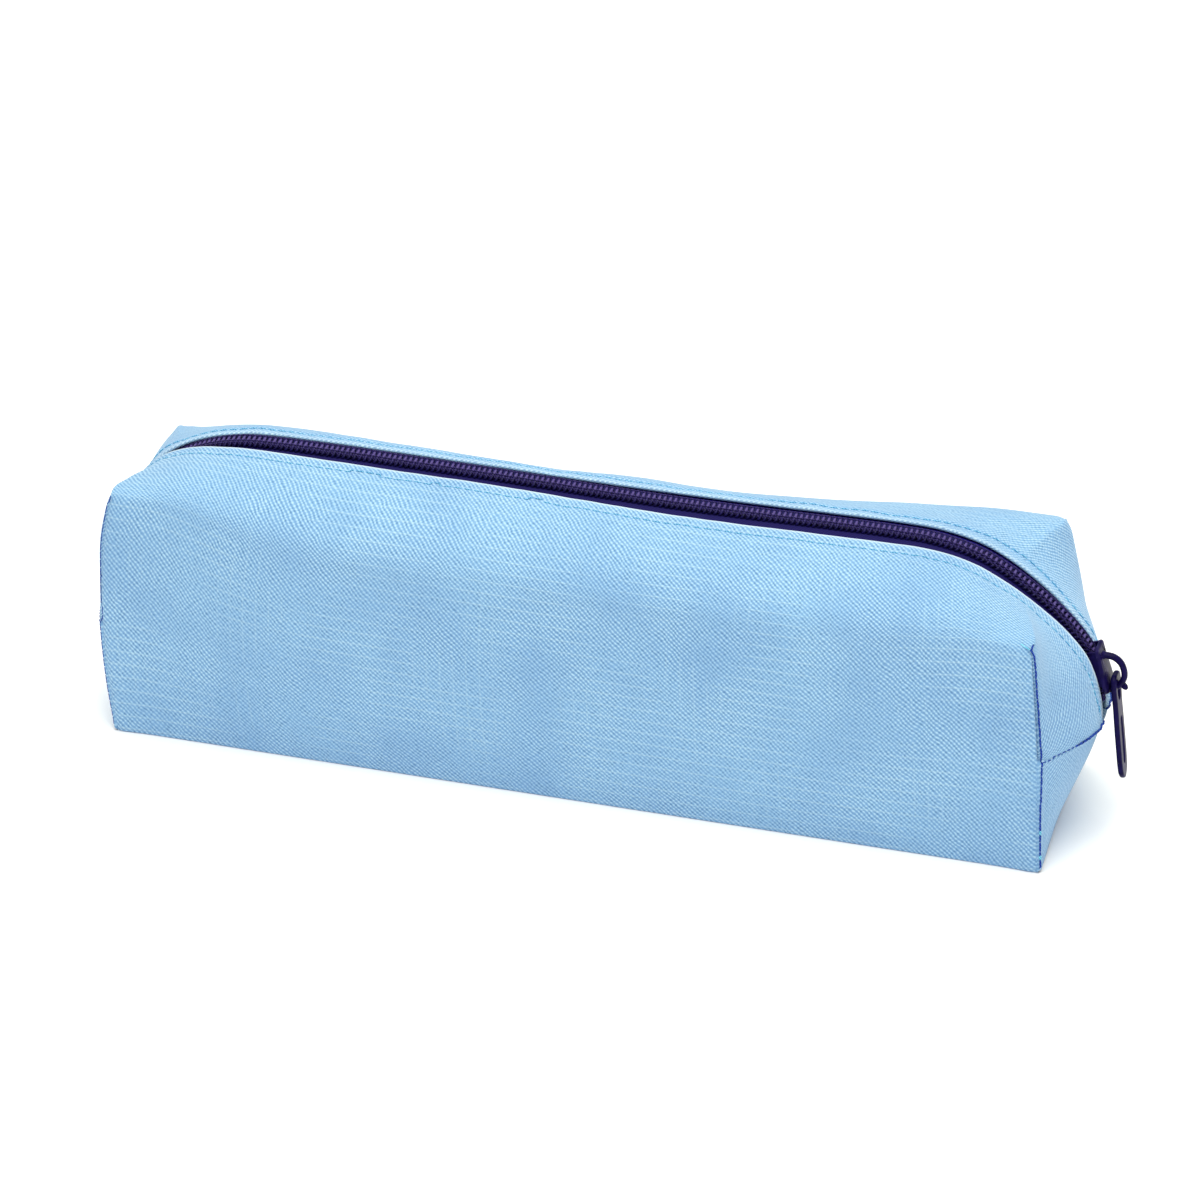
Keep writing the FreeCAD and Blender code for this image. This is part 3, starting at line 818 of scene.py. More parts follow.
def build_half(half):
    """One half of the cloth as a single sheet: wall, top and boxed ends, slit along the sewn
    seams, with its edge folded under beside the zipper. The front half owns the base too."""
    wall_cols = spaced(0.55, 1.28, 2.2, half.shoulder.length) * 2 - 1
    beyond = spaced(0.6, 1.3, 1.7, GUSSET_LENGTH)[1:]
    cols = np.concatenate([-1 - beyond[::-1], wall_cols, 1 + beyond])
    first, last = len(beyond), len(beyond) + len(wall_cols)
    base_rows = spaced(0.5, 1.35, 2.6, 2 * HALF_DEPTH) * 2 - 1
    wall_rows = spaced(0.5, 1.35, 2.0, WALL_HEIGHT, both=False)
    top_rows = 1 - spaced(0.45, 1.12, 1.5, TOP_WIDTH, both=False)[::-1]

    points, share, cloth, relief, fold_highlight, slack = [], [], [], [], [], []

    def put(p, lip, uv, depth, highlight_amount=0.0, free=0.0):
        points.append(p)
        share.append(lip)
        cloth.append((uv[0], uv[1], 0.0))
        relief.append(depth)
        fold_highlight.append(highlight_amount)
        slack.append(float(free))
        return len(points) - 1

    def flange(index, direction, gone):
        """The seam allowance of an edge point, turned inside; none where the seam ends."""
        p = np.array(points[index]) + np.array(direction) * SEAM_ALLOWANCE * ease(gone / 4.0)
        return put(p, share[index], cloth[index], 0.0)

    faces = []
    # top sheet, all columns
    top = np.zeros((len(top_rows), len(cols)), int)
    hem = []
    for ci, c in enumerate(cols):
        s = half.zipper_s(c)
        q, z = half.outer(c), half.edge_point(s)
        reach = np.linalg.norm(z - q) * REACH_SLACK
        u = s - RIDGE_MID
        for ri, t in enumerate(top_rows):
            p = top_point(half, c, t)
            sewn = ease((abs(c) - 1.55) / 0.45)
            if sewn > 0:
                line = seam_line(half, end_of(c), t)
                p = mix(p, line, sewn)
            d = (1 - t) * reach
            # painted highlight along the fold beside the zipper, stronger on the front half than
            # the back
            highlight_amount = (0.95 if half.sign < 0 else 0.35) * math.exp(-((d - 0.1) / 0.6) ** 2)
            depth = top_relief(half, c, t, s, reach) + pucker(half, p)
            free = ease((d - 4.0) / 8.0) * ease((corner_distance(half, p) - 1.0) / 8.0)
            lip = cloth_share(s, t)
            if abs(c) > 1:
                sewn_lip = seam_share(half, end_of(c), q[2])
                lip += (sewn_lip - lip_share(s, 0.0)) * (1 - t)
                to_end_seam = (2 - abs(c)) * GUSSET_LENGTH
                free *= ease((t * reach - 1.0) / 6.0) * ease((to_end_seam - 1.0) / 6.0)
            uv = (u, HALF_DEPTH + WALL_HEIGHT + t * TOP_WIDTH)
            top[ri, ci] = put(p, lip, uv, depth, highlight_amount, free)
        # the fold beside the zipper and the turning under it
        _, _, n = ridge_frame(s)
        lip = cloth_share(s, 1.0)
        inwards = np.array([0.0, -1.0, 0.0])
        under = [top_point(half, c, 1 - back / reach) - n * 1.05 for back in (2.5, 5.5)]
        curl = [z + inwards * 0.30 - n * 0.22, z + inwards * 0.36 - n * 0.62,
                z - inwards * 0.10 - n * 0.98] + under
        for k, p in enumerate(curl):
            # painted highlight on the turned-under hem: half strength on the front half's first
            # row, faint on the rest
            hem_highlight = 0.5 if k == 0 and half.sign < 0 else 0.05
            hem.append(put(p, lip, (u, HALF_DEPTH + WALL_HEIGHT + TOP_WIDTH + k), 0.0, hem_highlight))
    hem = np.array(hem).reshape(len(cols), 5).T
    faces += quads(np.vstack([top, hem]))
    # allowances of the corner seams and the end seams, along the boxed ends
    tip = {"left": np.arange(first + 1)[::-1], "right": np.arange(last - 1, len(cols))}
    for end, e in ENDS.items():
        around = np.sort(tip[end])
        row = [flange(top[0, ci], (-0.7 * e, -0.7, 0.0), (abs(cols[ci]) - 1) * GUSSET_LENGTH)
               for ci in around]
        faces += quads(np.vstack([row, top[0, around]]))
        ci = 0 if e < 0 else len(cols) - 1
        column = np.array([flange(i, (-e, 0.0, 0.0), 9.0) for i in top[:, ci]])[:, None]
        pair = (column, top[:, ci:ci + 1])
        faces += quads(np.hstack(pair if e < 0 else pair[::-1]))
    # upright wall
    wall = np.zeros((len(wall_rows), len(wall_cols)), int)
    wall[-1] = top[0, first:last]
    for ri, v in enumerate(wall_rows[:-1]):
        for ci, c in enumerate(wall_cols):
            f = (c + 1) / 2
            p = front_point(half, f, v)
            s = half.zipper_s(c)
            depth = front_relief(half, f, v, p[0], p[2]) + pucker(half, p)
            edge = min(f, 1 - f) * half.shoulder.length
            lip = lip_share(s, 0.0) * float(ease((p[2] - 12.0) / 36.0))
            sewn_lip = seam_share(half, "left" if f < 0.5 else "right", p[2])
            lip = float(mix(sewn_lip, lip, ease(edge / 25.0)))
            free = ease((edge - 1.0) / 8.0) * ease((p[2] - 4.0) / 18.0)
            uv = (s - RIDGE_MID, HALF_DEPTH + v * WALL_HEIGHT)
            wall[ri, ci] = put(p, lip, uv, depth, 0.0, free)
    faces += quads(wall)
    for ci, e in ((0, -1), (len(wall_cols) - 1, 1)):
        column = np.array([flange(i, (-0.7 * e, -0.7, 0.0), min(1 - v, v) * WALL_HEIGHT)
                           for i, v in zip(wall[:, ci], wall_rows)])[:, None]
        pair = (column, wall[:, ci:ci + 1])
        faces += quads(np.hstack(pair if e < 0 else pair[::-1]))
    if half.sign < 0:
        faces += build_base(half, put, flange, wall, wall_cols, base_rows)

    points = np.array(points) * (1, half.sign, 1)
    if half.sign > 0:
        faces = [face[::-1] for face in faces]
    obj = mesh_object(f"pouch_cloth_{half.side}", points, faces, CLOTH,
                      {"lip": share, "cloth": cloth, "fold_highlight": fold_highlight})
    mesh = obj.data
    normals = np.zeros(len(points) * 3, np.float32)
    mesh.vertices.foreach_get("normal", normals)
    normals = normals.reshape(-1, 3)
    centre = np.array([0.0, 0.0, SEAM_Z])
    outward = np.sign(np.einsum("ij,ij->i", normals, points - centre)).mean()
    if outward < 0:
        mesh.flip_normals()
        normals = -normals
    moved = points + normals * np.array(relief)[:, None]
    moved[:, 2] = np.maximum(moved[:, 2], 0.0)
    mesh.vertices.foreach_set("co", (moved * MM).astype(np.float32).ravel())
    mesh.update()
    settle(obj, np.array(slack))
    return obj


def build_base(half, put, flange, wall, wall_cols, base_rows):
    """The whole base and the two lower end panels folded up from it: the front half owns them."""
    faces = []
    base = np.zeros((len(base_rows), len(wall_cols)), int)
    base[-1] = wall[0]
    for ri, w in enumerate(base_rows[:-1]):
        for ci, c in enumerate(wall_cols):
            f = (c + 1) / 2
            p = np.array([mix(foot_x("left", w), foot_x("right", w), f),
                          w * HALF_DEPTH, 0.0])
            base[ri, ci] = put(p, 0.0, (half.zipper_s(c) - RIDGE_MID, w * HALF_DEPTH), 0.0)
    faces += quads(base)
    for end, e in ENDS.items():
        up_rows = spaced(0.5, 1.35, 1.9, SEAM_Z)
        col = 0 if e < 0 else -1
        panel = np.zeros((len(up_rows), len(base_rows)), int)
        panel[0] = base[:, col]
        for ri, v in enumerate(up_rows[1:], start=1):
            for ci, w in enumerate(base_rows):
                p = end_point(end, 0.5 * (1 - w), v)
                p = p * (1, half.sign, 1)
                to_corner = (1 - abs(w)) * HALF_DEPTH
                depth = seam_relief((1 - v) * SEAM_Z, to_corner) * ease(v * 8)
                depth += 0.35 * wander(p[1] * half.sign, p[2], 0.08, 50.0 + e) * ease(to_corner / 6)
                free = 1.0
                for gap in (v * SEAM_Z, (1 - v) * SEAM_Z, to_corner):
                    free *= ease((gap - 1.0) / 6.0)
                uv = (e * (HALF_LENGTH + 6 + v * SEAM_Z), w * HALF_DEPTH)
                panel[ri, ci] = put(p, 0.0, uv, depth, 0.0, free)
        sheet = panel if e > 0 else panel[:, ::-1]
        faces += quads(sheet)
        top_row = [flange(i, (-e, 0.0, 0.0), 9.0) for i in sheet[-1]]
        faces += quads(np.vstack([sheet[-1], top_row]))
        for edge, inward in ((0, 1), (-1, -1)):
            column = np.array([flange(i, (-0.7 * e, 0.7 * (inward if e > 0 else -inward), 0.0),
                                      v * SEAM_Z) for i, v in zip(sheet[:, edge], up_rows)])
            pair = (column[:, None], sheet[:, [edge]])
            faces += quads(np.hstack(pair if edge == 0 else pair[::-1]))
    return faces


def corner_distance(half, p):
    return min(np.linalg.norm(p - TOP_CORNERS[half.side, end]) for end in ENDS)


def vertex_places(mesh):
    places = np.zeros(len(mesh.vertices) * 3, np.float32)
    mesh.vertices.foreach_get("co", places)
    return places.reshape(-1, 3)


def settle(obj, slack):
    """Let the slack cloth between its seams relax under a slight fullness from inside. Points
    with no slack are sewn down; no point moves further than SETTLE_CAP."""
    start = vertex_places(obj.data)
    sewn = obj.vertex_groups.new(name="sewn")
    sewn.add([int(i) for i in np.flatnonzero(slack < 0.02)], 1.0, "REPLACE")
    cloth = obj.modifiers.new("cloth", "CLOTH")
    fabric = cloth.settings
    fabric.vertex_group_mass = "sewn"
    fabric.quality = 6
    fabric.mass = 0.2
    fabric.tension_stiffness = fabric.compression_stiffness = 12.0
    fabric.shear_stiffness = 4.0
    fabric.bending_stiffness = 0.4
    fabric.shrink_min = -0.006
    fabric.use_pressure = True
    fabric.uniform_pressure_force = 4.0
    fabric.effector_weights.gravity = 0.0
    cloth.point_cache.frame_start, cloth.point_cache.frame_end = 1, SETTLE_FRAMES
    for frame_number in range(1, SETTLE_FRAMES + 1):
        bpy.context.scene.frame_set(frame_number)
    graph = bpy.context.evaluated_depsgraph_get()
    moved = vertex_places(obj.evaluated_get(graph).data) - start
    length = np.linalg.norm(moved, axis=1)[:, None]
    cap = SETTLE_CAP * MM
    moved *= cap * np.tanh(length / cap) / np.maximum(length, 1e-9) * slack[:, None]
    obj.modifiers.clear()
    obj.vertex_groups.clear()
    obj.data.vertices.foreach_set("co", (start + moved).ravel())
    obj.data.update()


def seam_line(half, end, t):
    """A point of the end seam, from the corner seam (t = 0) to the zipper's edge (t = 1)."""
    s = RIDGE.length if end == "right" else 0.0
    w = mix(1.0, mouth_half(s, half.sign) / half.seams[end].at(half.seam_mid[end])[1], t)
    g = 0.5 * (1 - w) if half.sign < 0 else 0.5 * (1 + w)
    p = end_point(end, g, 1.0)
    return p * (1, half.sign, 1)


def finish_cloth(obj, side):
    """Give the sheet its thickness, round it off and hide the frame parts it stands for."""
    thicken(obj, CLOTH_THICKNESS)
    follow_lip(obj, side)
    nodes = [f"{side}_panel_lower", f"{side}_panel_upper"]
    nodes += [f"end_gusset_{side}_{end}" for end in ENDS]
    if side == "front":
        nodes += ["base_panel", "end_panel_lower_left", "end_panel_lower_right"]
    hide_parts(*nodes)
    return obj


HALVES = {side: Half(side) for side in SIDES}
POUCH = {side: build_half(HALVES[side]) for side in SIDES}
for cloth_side, cloth_piece in POUCH.items():
    finish_cloth(cloth_piece, cloth_side)


# ------------------------------------------------------------------ the zipper

COIL_PITCH = 1.25
COIL_WIRE = 0.31
COIL_TOP = 0.35
TAPE_TOP = -1.7
TAPE_TAIL = 4.0
RNG = np.random.default_rng(11)


def parted(s):
    """How far each coil stands from the middle: apart beyond the slider, meshed before it."""
    return 1.15 * float(ease((s - SLIDER_S + 3.0) / 5.0))


def tucked(s):
    """How far the zipper dives under the cloth where it meets the end seams."""
    at_seam = 1.8 * float(1 - ease((end_distance(s) - 1.0) / 4.0))
    return max(at_seam, 1.6 * closing(s - RIDGE_MID))


def drift_at(s):
    """Sideways wander of the zipper's middle, halfway between the cloth edges."""
    return 0.5 * (mouth_half(s, 1) - mouth_half(s, -1)) + 0.45


def beside(s, y, sign):
    """Sideways step from the zipper line to y millimetres from its middle."""
    return np.array([0.0, sign * y + drift_at(s), 0.0])


def make_coil(side):
    """A helix of nylon monofilament, thicker at the heads that mesh."""
    sign = SIDES[side]
    soup = Soup("lip", "bend")
    steps = 14
    start, stop = 2.5, RIDGE.length - 2.8
    turns = int((stop - start) / COIL_PITCH)
    centres, radii, lips, bends = [], [], [], []
    for i in range(turns * steps + 1):
        turn = i / steps
        w = 2 * math.pi * turn + (math.pi if sign > 0 else 0.0)
        s = start + COIL_PITCH * turn + (0.5 * COIL_PITCH if sign > 0 else 0.0)
        p, along, n = ridge_frame(s)
        head = max(0.0, -math.cos(w)) ** 2
        y = parted(s) + 0.98 + 1.36 * math.cos(w)
        rise = COIL_TOP - COIL_WIRE - 0.72 + 0.72 * math.sin(w) + 0.1 * head
        sway = 0.16 * math.sin(2 * w)
        centre = p + n * (rise - tucked(s)) + along * sway
        centre += beside(s, y, sign)
        centres.append(centre)
        radii.append(COIL_WIRE * (1 + 0.30 * head))
        lips += [lip_share(s, 1.0)] * 7
        # painted highlight mask: strongest near the top of each turn of the helix
        crest = math.exp(-((w % (2 * math.pi) - 2.0) / 0.5) ** 2)
        bends += [crest] * 7
    soup.add(*tube(centres, radii, sides=7, up=(1, 0, 0)), lip=lips, bend=bends)
    piece = follow_lip(soup.build(f"zipper_coil_{side}", COIL), side)
    nodes = [f"{side}_coil", f"{side}_core_cord"]
    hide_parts(*(nodes + ["throat_turns"] if side == "front" else nodes))


def make_chain_stitches(side):
    """The two rows of chain stitch that sew a coil down to its tape, one loop a turn."""
    sign = SIDES[side]
    soup = Soup("lip")
    start, stop = 3.0, RIDGE.length - 3.6
    for i in range(int((stop - start) / COIL_PITCH)):
        s0 = start + COIL_PITCH * i
        for row in (1.25, 1.95):
            path = []
            for k in range(6):
                a = k / 5
                s = s0 + COIL_PITCH * a * 1.08
                p, _, n = ridge_frame(s)
                rise = COIL_TOP + 0.10 * math.sin(math.pi * a) - 0.05 - 0.25 * (row > 1.5)
                y = parted(s) + row + 0.05 * math.sin(2 * math.pi * a)
                path.append(p + n * (rise - tucked(s)) + beside(s, y, sign))
            soup.add(*tube(path, [0.07, 0.13, 0.15, 0.15, 0.13, 0.07], sides=6),
                     lip=lip_share(s0, 1.0))
    piece = follow_lip(soup.build(f"chain_stitch_{side}", CHAIN_THREAD), side)


def make_core_cord(side):
    """The cord that runs inside a coil."""
    sign = SIDES[side]
    stations = np.arange(3.0, RIDGE.length - 3.0, 1.2)
    path, lips = [], []
    for s in stations:
        p, _, n = ridge_frame(s)
        y = parted(s) + 1.15
        path.append(p - n * (0.72 + tucked(s)) + beside(s, y, sign))
        lips += [lip_share(s, 1.0)] * 8
    soup = Soup("lip")
    soup.add(*tube(path, 0.33, sides=8), lip=lips)
    piece = follow_lip(soup.build(f"core_cord_{side}", CHAIN_THREAD), side)


def make_tape(side):
    """Woven tape: from under the coil out beneath the cloth's folded edge."""
    sign = SIDES[side]
    across = np.array([0.35, 0.9, 1.6, 2.4, 3.2, 4.0, 4.8, 5.6, 6.6, 7.6])
    # the tails run on past the end seams, sewn down inside the lower end panels
    stations = np.arange(-TAPE_TAIL, RIDGE.length + TAPE_TAIL, 1.0)
    points, lips, cloth = [], [], []
    for station in stations:
        s = float(np.clip(station, 0.3, RIDGE.length - 0.3))
        p, along, n = ridge_frame(s)
        p = p + along * (station - s)
        lip = lip_share(s, 1.0)
        shut = parted(s)
        near_end = 1 - ease(end_distance(s) / 8.0)
        for y in across:
            drop = 0.16 * max(0.0, y - 4.2) ** 1.35 + 0.9 * near_end
            ripple = 0.06 * noise.noise(Vector((s * 0.35, y * 0.5, 7.0 + sign)))
            rise = TAPE_TOP - drop + ripple + 0.35 * math.exp(-((y - 2.9) / 0.8) ** 2)
            width = mix(y, y * 0.72, near_end) + shut * (1 - ease(y / 6.0))
            points.append(p + n * rise + beside(s, width, sign))
            lips.append(lip)
            cloth.append((station, y, 0.0))
    index = np.arange(len(points)).reshape(len(stations), len(across))
    faces = quads(index if sign > 0 else index[:, ::-1])
    piece = mesh_object(f"zipper_tape_{side}", points, faces, TAPE, {"lip": lips, "cloth": cloth})
    thicken(piece, 0.45)
    follow_lip(piece, side)
    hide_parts(f"{side}_tape")


for zip_side in SIDES:
    make_coil(zip_side)
    make_chain_stitches(zip_side)
    make_core_cord(zip_side)
    make_tape(zip_side)


# ------------------------------------------------------------------ sewing threads

def surface_of(obj):
    graph = bpy.context.evaluated_depsgraph_get()
    return BVHTree.FromObject(obj, graph)


SURFACE = {side: surface_of(piece) for side, piece in POUCH.items()}


def on_cloth(side, p, rise):
    """The point of the cloth's outside nearest to p, lifted by rise."""
    p = np.asarray(p, float)
    away = p - (np.clip(p[0], -70, 70), 0.0, SEAM_Z)
    start = p + unit(away) * 1.2
    spot, normal, _, _ = SURFACE[side].find_nearest(Vector(start * MM))
    normal = np.array(normal)
    if normal @ away < 0:
        normal = -normal
    return np.array(spot) / MM + normal * rise


def stitch(side, path_at, a, b, radius, height, dip=0.12):
    """One stitch along path_at from a to b: up out of the cloth, along it and back down."""
    profile = [(-0.02, -dip), (0.05, 0.3 * height), (0.22, height), (0.5, height * 1.08),
               (0.78, height), (0.95, 0.3 * height), (1.02, -dip)]
    path = [on_cloth(side, path_at(mix(a, b, f)), rise) for f, rise in profile]
    scale = [0.75, 0.95, 1.0, 1.05, 1.0, 0.95, 0.75]
    return tube(path, [radius * k for k in scale], sides=7)


def c_for(half, s):
    """The top sheet's column opposite a distance along the zipper."""
    left, right = half.corner_s["left"], half.corner_s["right"]
    if s < left:
        return -2 + s / left
    if s > right:
        return 1 + (s - right) / (RIDGE.length - right)
    return 2 * (s - left) / (right - left) - 1


def make_topstitch(side):
    half = HALVES[side]
    soup = Soup("lip")
    pitch, length = 2.35, 1.75

    def line(s):
        c = c_for(half, s)
        reach = np.linalg.norm(half.edge_point(s) - half.outer(c)) * REACH_SLACK
        t = 1 - STITCH_LINE / reach
        return top_point(half, c, t) * (1, half.sign, 1)

    s = 4.0
    while s < RIDGE.length - 4.0:
        jitter = RNG.uniform(-0.06, 0.06)
        soup.add(*stitch(side, line, s, s + length + jitter, 0.16, 0.06), lip=cloth_share(s, 0.9))
        s += pitch + jitter
    piece = follow_lip(soup.build(f"topstitch_{side}", TOPSTITCH), side)
    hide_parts(f"{side}_topstitch")


def make_end_seam_thread(end):
    """The seam across an end: tight stitches near the zipper, buried ones towards the corners."""
    soup = Soup()
    for side, half in HALVES.items():
        span = half.seams[end].at(half.seam_mid[end])[1]

        def line(f):
            return seam_line(half, end, f) * (1, half.sign, 1) + np.array([0.0, 0.0, 0.15])

        step = 1.5 / span
        f = 0.03
        while f < 0.97:
            near = ease((f - 0.38) / 0.06)
            soup.add(*stitch(side, line, f, f + step * mix(0.62, 1.02, near),
                                   mix(0.13, 0.27, near), mix(0.02, 0.18, near)))
            f += step
    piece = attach(soup.build(f"end_seam_thread_{end}_sewn", SEAM_THREAD), "pouch")
    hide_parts(f"end_seam_thread_{end}")


LOOSE_SEAM = ("front", "right")


def make_corner_thread(side, end):
    """The boxed corner's seam: dashes of navy thread, pulled into the crease except on the
    loosest seam."""
    half = HALVES[side]
    seam = half.seams[end]
    e = ENDS[end]
    soup = Soup("lip")
    loose = (side, end) == LOOSE_SEAM
    beside, radius, height = (0.32, 0.23, 0.12) if loose else (0.15, 0.14, -0.04)

    def line(s):
        return seam.at(s) * (1, half.sign, 1) + np.array([e * beside, half.sign * -beside, 0.0])

    s = 2.0
    while s < seam.length - 0.6:
        length = 1.9 + RNG.uniform(-0.35, 0.35)
        lean = RNG.uniform(-0.12, 0.12)

        def leaning(d, lean=lean):
            return line(d) + np.array([0.0, lean, 0.0])

        stop = min(s + length, seam.length - 0.4)
        soup.add(*stitch(side, leaning, s, stop, radius, height),
                 lip=seam_share(half, end, seam.at(s)[2]))
        s += length + 0.35
    piece = follow_lip(soup.build(f"corner_thread_{side}_{end}_sewn", SEAM_THREAD), side)
    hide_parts(f"corner_thread_{side}_{end}")
    if loose:
        make_loose_ends(side, end, seam, line)


def make_loose_ends(side, end, seam, line):
    """The forked knot and pale tail at the top of the loosest corner seam, and the two pale
    knots near its foot."""
    half, e = HALVES[side], ENDS[end]
    soup, knots = Soup("lip"), Soup("lip")
    top = seam.at(seam.length) * (1, half.sign, 1)
    top_share = seam_share(half, end, top[2])
    for reach in (np.array([-e * 1.2, 0.0, 0.7]), np.array([e * 0.6, half.sign * -0.9, 1.3])):
        def fork(f, reach=reach):
            return top + reach * f
        soup.add(*stitch(side, fork, -0.3, 1.0, 0.22, 0.2), lip=top_share)
    fork_piece = follow_lip(soup.build(f"corner_fork_{side}_{end}", SEAM_THREAD), side)

    def tail(f):
        return top + np.array([-e * (1.4 + 1.8 * f + 0.6 * math.sin(3 * f)), 0.0, 0.8 + 3.0 * f])
    for a in (0.0, 0.34, 0.68):
        knots.add(*stitch(side, tail, a, a + 0.3, 0.13, 0.08), lip=top_share)
    for height in (4.6, 10.8):
        middle = seam.where(2, height)

        def bar(f, middle=middle):
            return line(middle) + np.array([1.1 * f, 0.0, 0.12 * f])
        for shift in (-0.28, 0.0, 0.28):
            def strand(f, shift=shift):
                return bar(f) + np.array([0.0, 0.0, shift])
            knots.add(*stitch(side, strand, -0.6, 0.6, 0.24, 0.34), lip=0.0)
    knot = follow_lip(knots.build(f"corner_knot_{side}_{end}", KNOT_THREAD), side)


for thread_side in SIDES:
    make_topstitch(thread_side)
    for thread_end in ENDS:
        make_corner_thread(thread_side, thread_end)
for thread_end in ENDS:
    make_end_seam_thread(thread_end)


# ------------------------------------------------------------------ bindings inside

def make_binding(name, path, outward, width):
    """A folded tape over a seam's raw edge: a flat, round-edged strip along a path."""
    path = np.asarray(path, float)
    outward = np.asarray(outward, float)
    soup = Soup()
    section = [(math.cos(w), math.sin(w)) for w in np.linspace(0, 2 * math.pi, 14)[:-1]]
    points, faces = [], []
    count = len(path)
    for i, p in enumerate(path):
        along = unit(path[min(i + 1, count - 1)] - path[max(i - 1, 0)])
        wide = unit(np.cross(along, outward[i]))
        rib = 1 + 0.05 * math.sin(i * 2.1)
        close = 0.35 if i in (0, count - 1) else 1.0
        for a, b in section:
            a = math.copysign(abs(a) ** 0.6, a)
            points.append(p + wide * a * width / 2 * close + outward[i] * b * 0.62 * rib * close)
    k = len(section)
    for i in range(count - 1):
        for j in range(k):
            on = (j + 1) % k
            faces.append([i * k + j, i * k + on, (i + 1) * k + on, (i + 1) * k + j])
    faces += [list(range(k))[::-1], [(count - 1) * k + j for j in range(k)]]
    soup.add(points, faces)
    piece = soup.build(f"{name}_folded", BINDING)
    subdivide(piece)
    bake_modifiers(piece)
    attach(piece, "pouch")
    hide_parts(name)


def make_bindings():
    for end, e in ENDS.items():
        path, outward = [], []
        for g in np.linspace(0.12, 0.88, 40):
            p = end_point(end, g, 0.86)
            q = end_point(end, g + 0.01, 0.86)
            normal = unit(np.cross(q - p, (0.0, 0.0, 1.0))) * e
            normal = normal if normal[0] * e > 0 else -normal
            path.append(p - normal * 1.75)
            outward.append(normal)
        make_binding(f"end_binding_{end}", path, outward, 6.6)
        for side, half in HALVES.items():
            path, outward = [], []
            for z in np.linspace(3.5, 45.5, 44):
                p = half.seams[end].at(half.seams[end].where(2, z)) * (1, half.sign, 1)
                path.append(p + np.array([-e * 4.6, -half.sign * 2.2, 0.0]))
                outward.append(np.array([0.0, half.sign, 0.0]))
            make_binding(f"corner_binding_{side}_{end}", path, outward, 4.6)


make_bindings()


# ------------------------------------------------------------------ slider, bail and pull

ALONG = np.array([math.cos(SLIDER_ANGLE), 0.0, -math.sin(SLIDER_ANGLE)])
OUT = np.array([math.sin(SLIDER_ANGLE), 0.0, math.cos(SLIDER_ANGLE)])
PULL_ALONG, PULL_OUT, PULL_TILT = 2.85, 2.9, 7.5


def slider_world(points):
    """Points given as along the track (nose positive), across and outwards, put in place."""
    points = np.asarray(points, float).reshape(-1, 3)
    return SLIDER_SPOT + points[:, :1] * ALONG + points[:, 1:2] * (0, 1, 0) + points[:, 2:] * OUT


def stacked(outline, levels):
    """A closed solid from copies of an outline, each at a height and grown by an amount."""
    outline = np.asarray(outline, float)
    count = len(outline)
    tangent = np.roll(outline, -1, 0) - np.roll(outline, 1, 0)
    normal = np.stack([tangent[:, 1], -tangent[:, 0]], 1)
    normal /= np.linalg.norm(normal, axis=1)[:, None]
    points, faces = [], []
    for height, grow in levels:
        ring = outline + normal * grow
        points += [(x, y, height) for x, y in ring]
    for r in range(len(levels) - 1):
        for j in range(count):
            k = (j + 1) % count
            faces.append([r * count + j, r * count + k, (r + 1) * count + k, (r + 1) * count + j])
    faces.append(list(range(count))[::-1])
    faces.append([(len(levels) - 1) * count + j for j in range(count)])
    return points, faces


def wing_outline():
    """Plan of a slider wing: narrow square tail, flared shoulders, round nose."""
    side = [(-5.6, 0.0), (-5.6, 2.6), (-5.15, 3.2), (-3.8, 3.3), (-1.5, 3.45), (0.5, 3.9),
            (2.2, 4.2), (3.9, 4.15), (5.0, 3.3), (5.55, 1.9), (5.75, 0.0)]
    curve = Curve([(x, y, 0.0) for x, y in side], per_span=5)
    upper = [tuple(p[:2]) for p in curve.p]
    return [(x, -y) for x, y in upper] + [(x, y) for x, y in upper[::-1]][1:-1]


def make_slider():
    soup = Soup()
    wing = wing_outline()
    top = [(0.62, -0.45), (0.60, -0.15), (0.72, 0.0), (1.0, 0.04), (1.25, -0.05), (1.42, -0.3),
           (1.5, -0.7), (1.58, -1.4), (1.62, -2.2)]
    bottom = [(-3.40, -0.45), (-3.38, -0.15), (-3.5, 0.0), (-3.8, 0.02), (-4.05, -0.15),
              (-4.2, -0.5), (-4.28, -1.2)]
    for levels in (top, bottom):
        soup.add(*stacked(wing, levels))
    turn = np.linspace(0, 2 * math.pi, 25)[:-1]
    post = [(3.5 + 1.1 * math.cos(w), 0.8 * math.sin(w)) for w in turn]
    soup.add(*stacked(post, [(-3.5, 0.2), (-3.1, 0.0), (0.3, 0.0), (0.7, 0.25)]))
    for sign in (-1, 1):
        # side flanges: thin walls that hem the chain in, rounded at both ends
        line = Curve([(-5.2, 2.95, 0), (-2.0, 3.05, 0), (0.8, 3.55, 0), (2.8, 3.8, 0)],
                     per_span=4).p
        rim = [(x, sign * (y + 0.3)) for x, y, _ in line]
        rim += [(x, sign * (y - 0.3)) for x, y, _ in line[::-1]]
        if sign > 0:
            rim = rim[::-1]
        for levels in ([(-1.05, -0.12), (-0.95, 0.0), (0.5, 0.0), (0.8, 0.05)],
                       [(-3.5, 0.05), (-3.25, 0.0), (-3.05, -0.1)]):
            soup.add(*stacked(rim, levels))
    soup.points = list(slider_world(soup.points))
    piece = soup.build("slider_casting", ENAMEL)
    smooth_metal(piece)
    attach(piece, "slider")
    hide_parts("slider_body")


def smooth_metal(piece, width=0.12):
    bevel = piece.modifiers.new("edges", "BEVEL")
    bevel.width = width * MM
    bevel.segments = 2
    bevel.limit_method = "ANGLE"
    bevel.angle_limit = math.radians(50)
    bevel.harden_normals = True
    bake_modifiers(piece)
    return piece


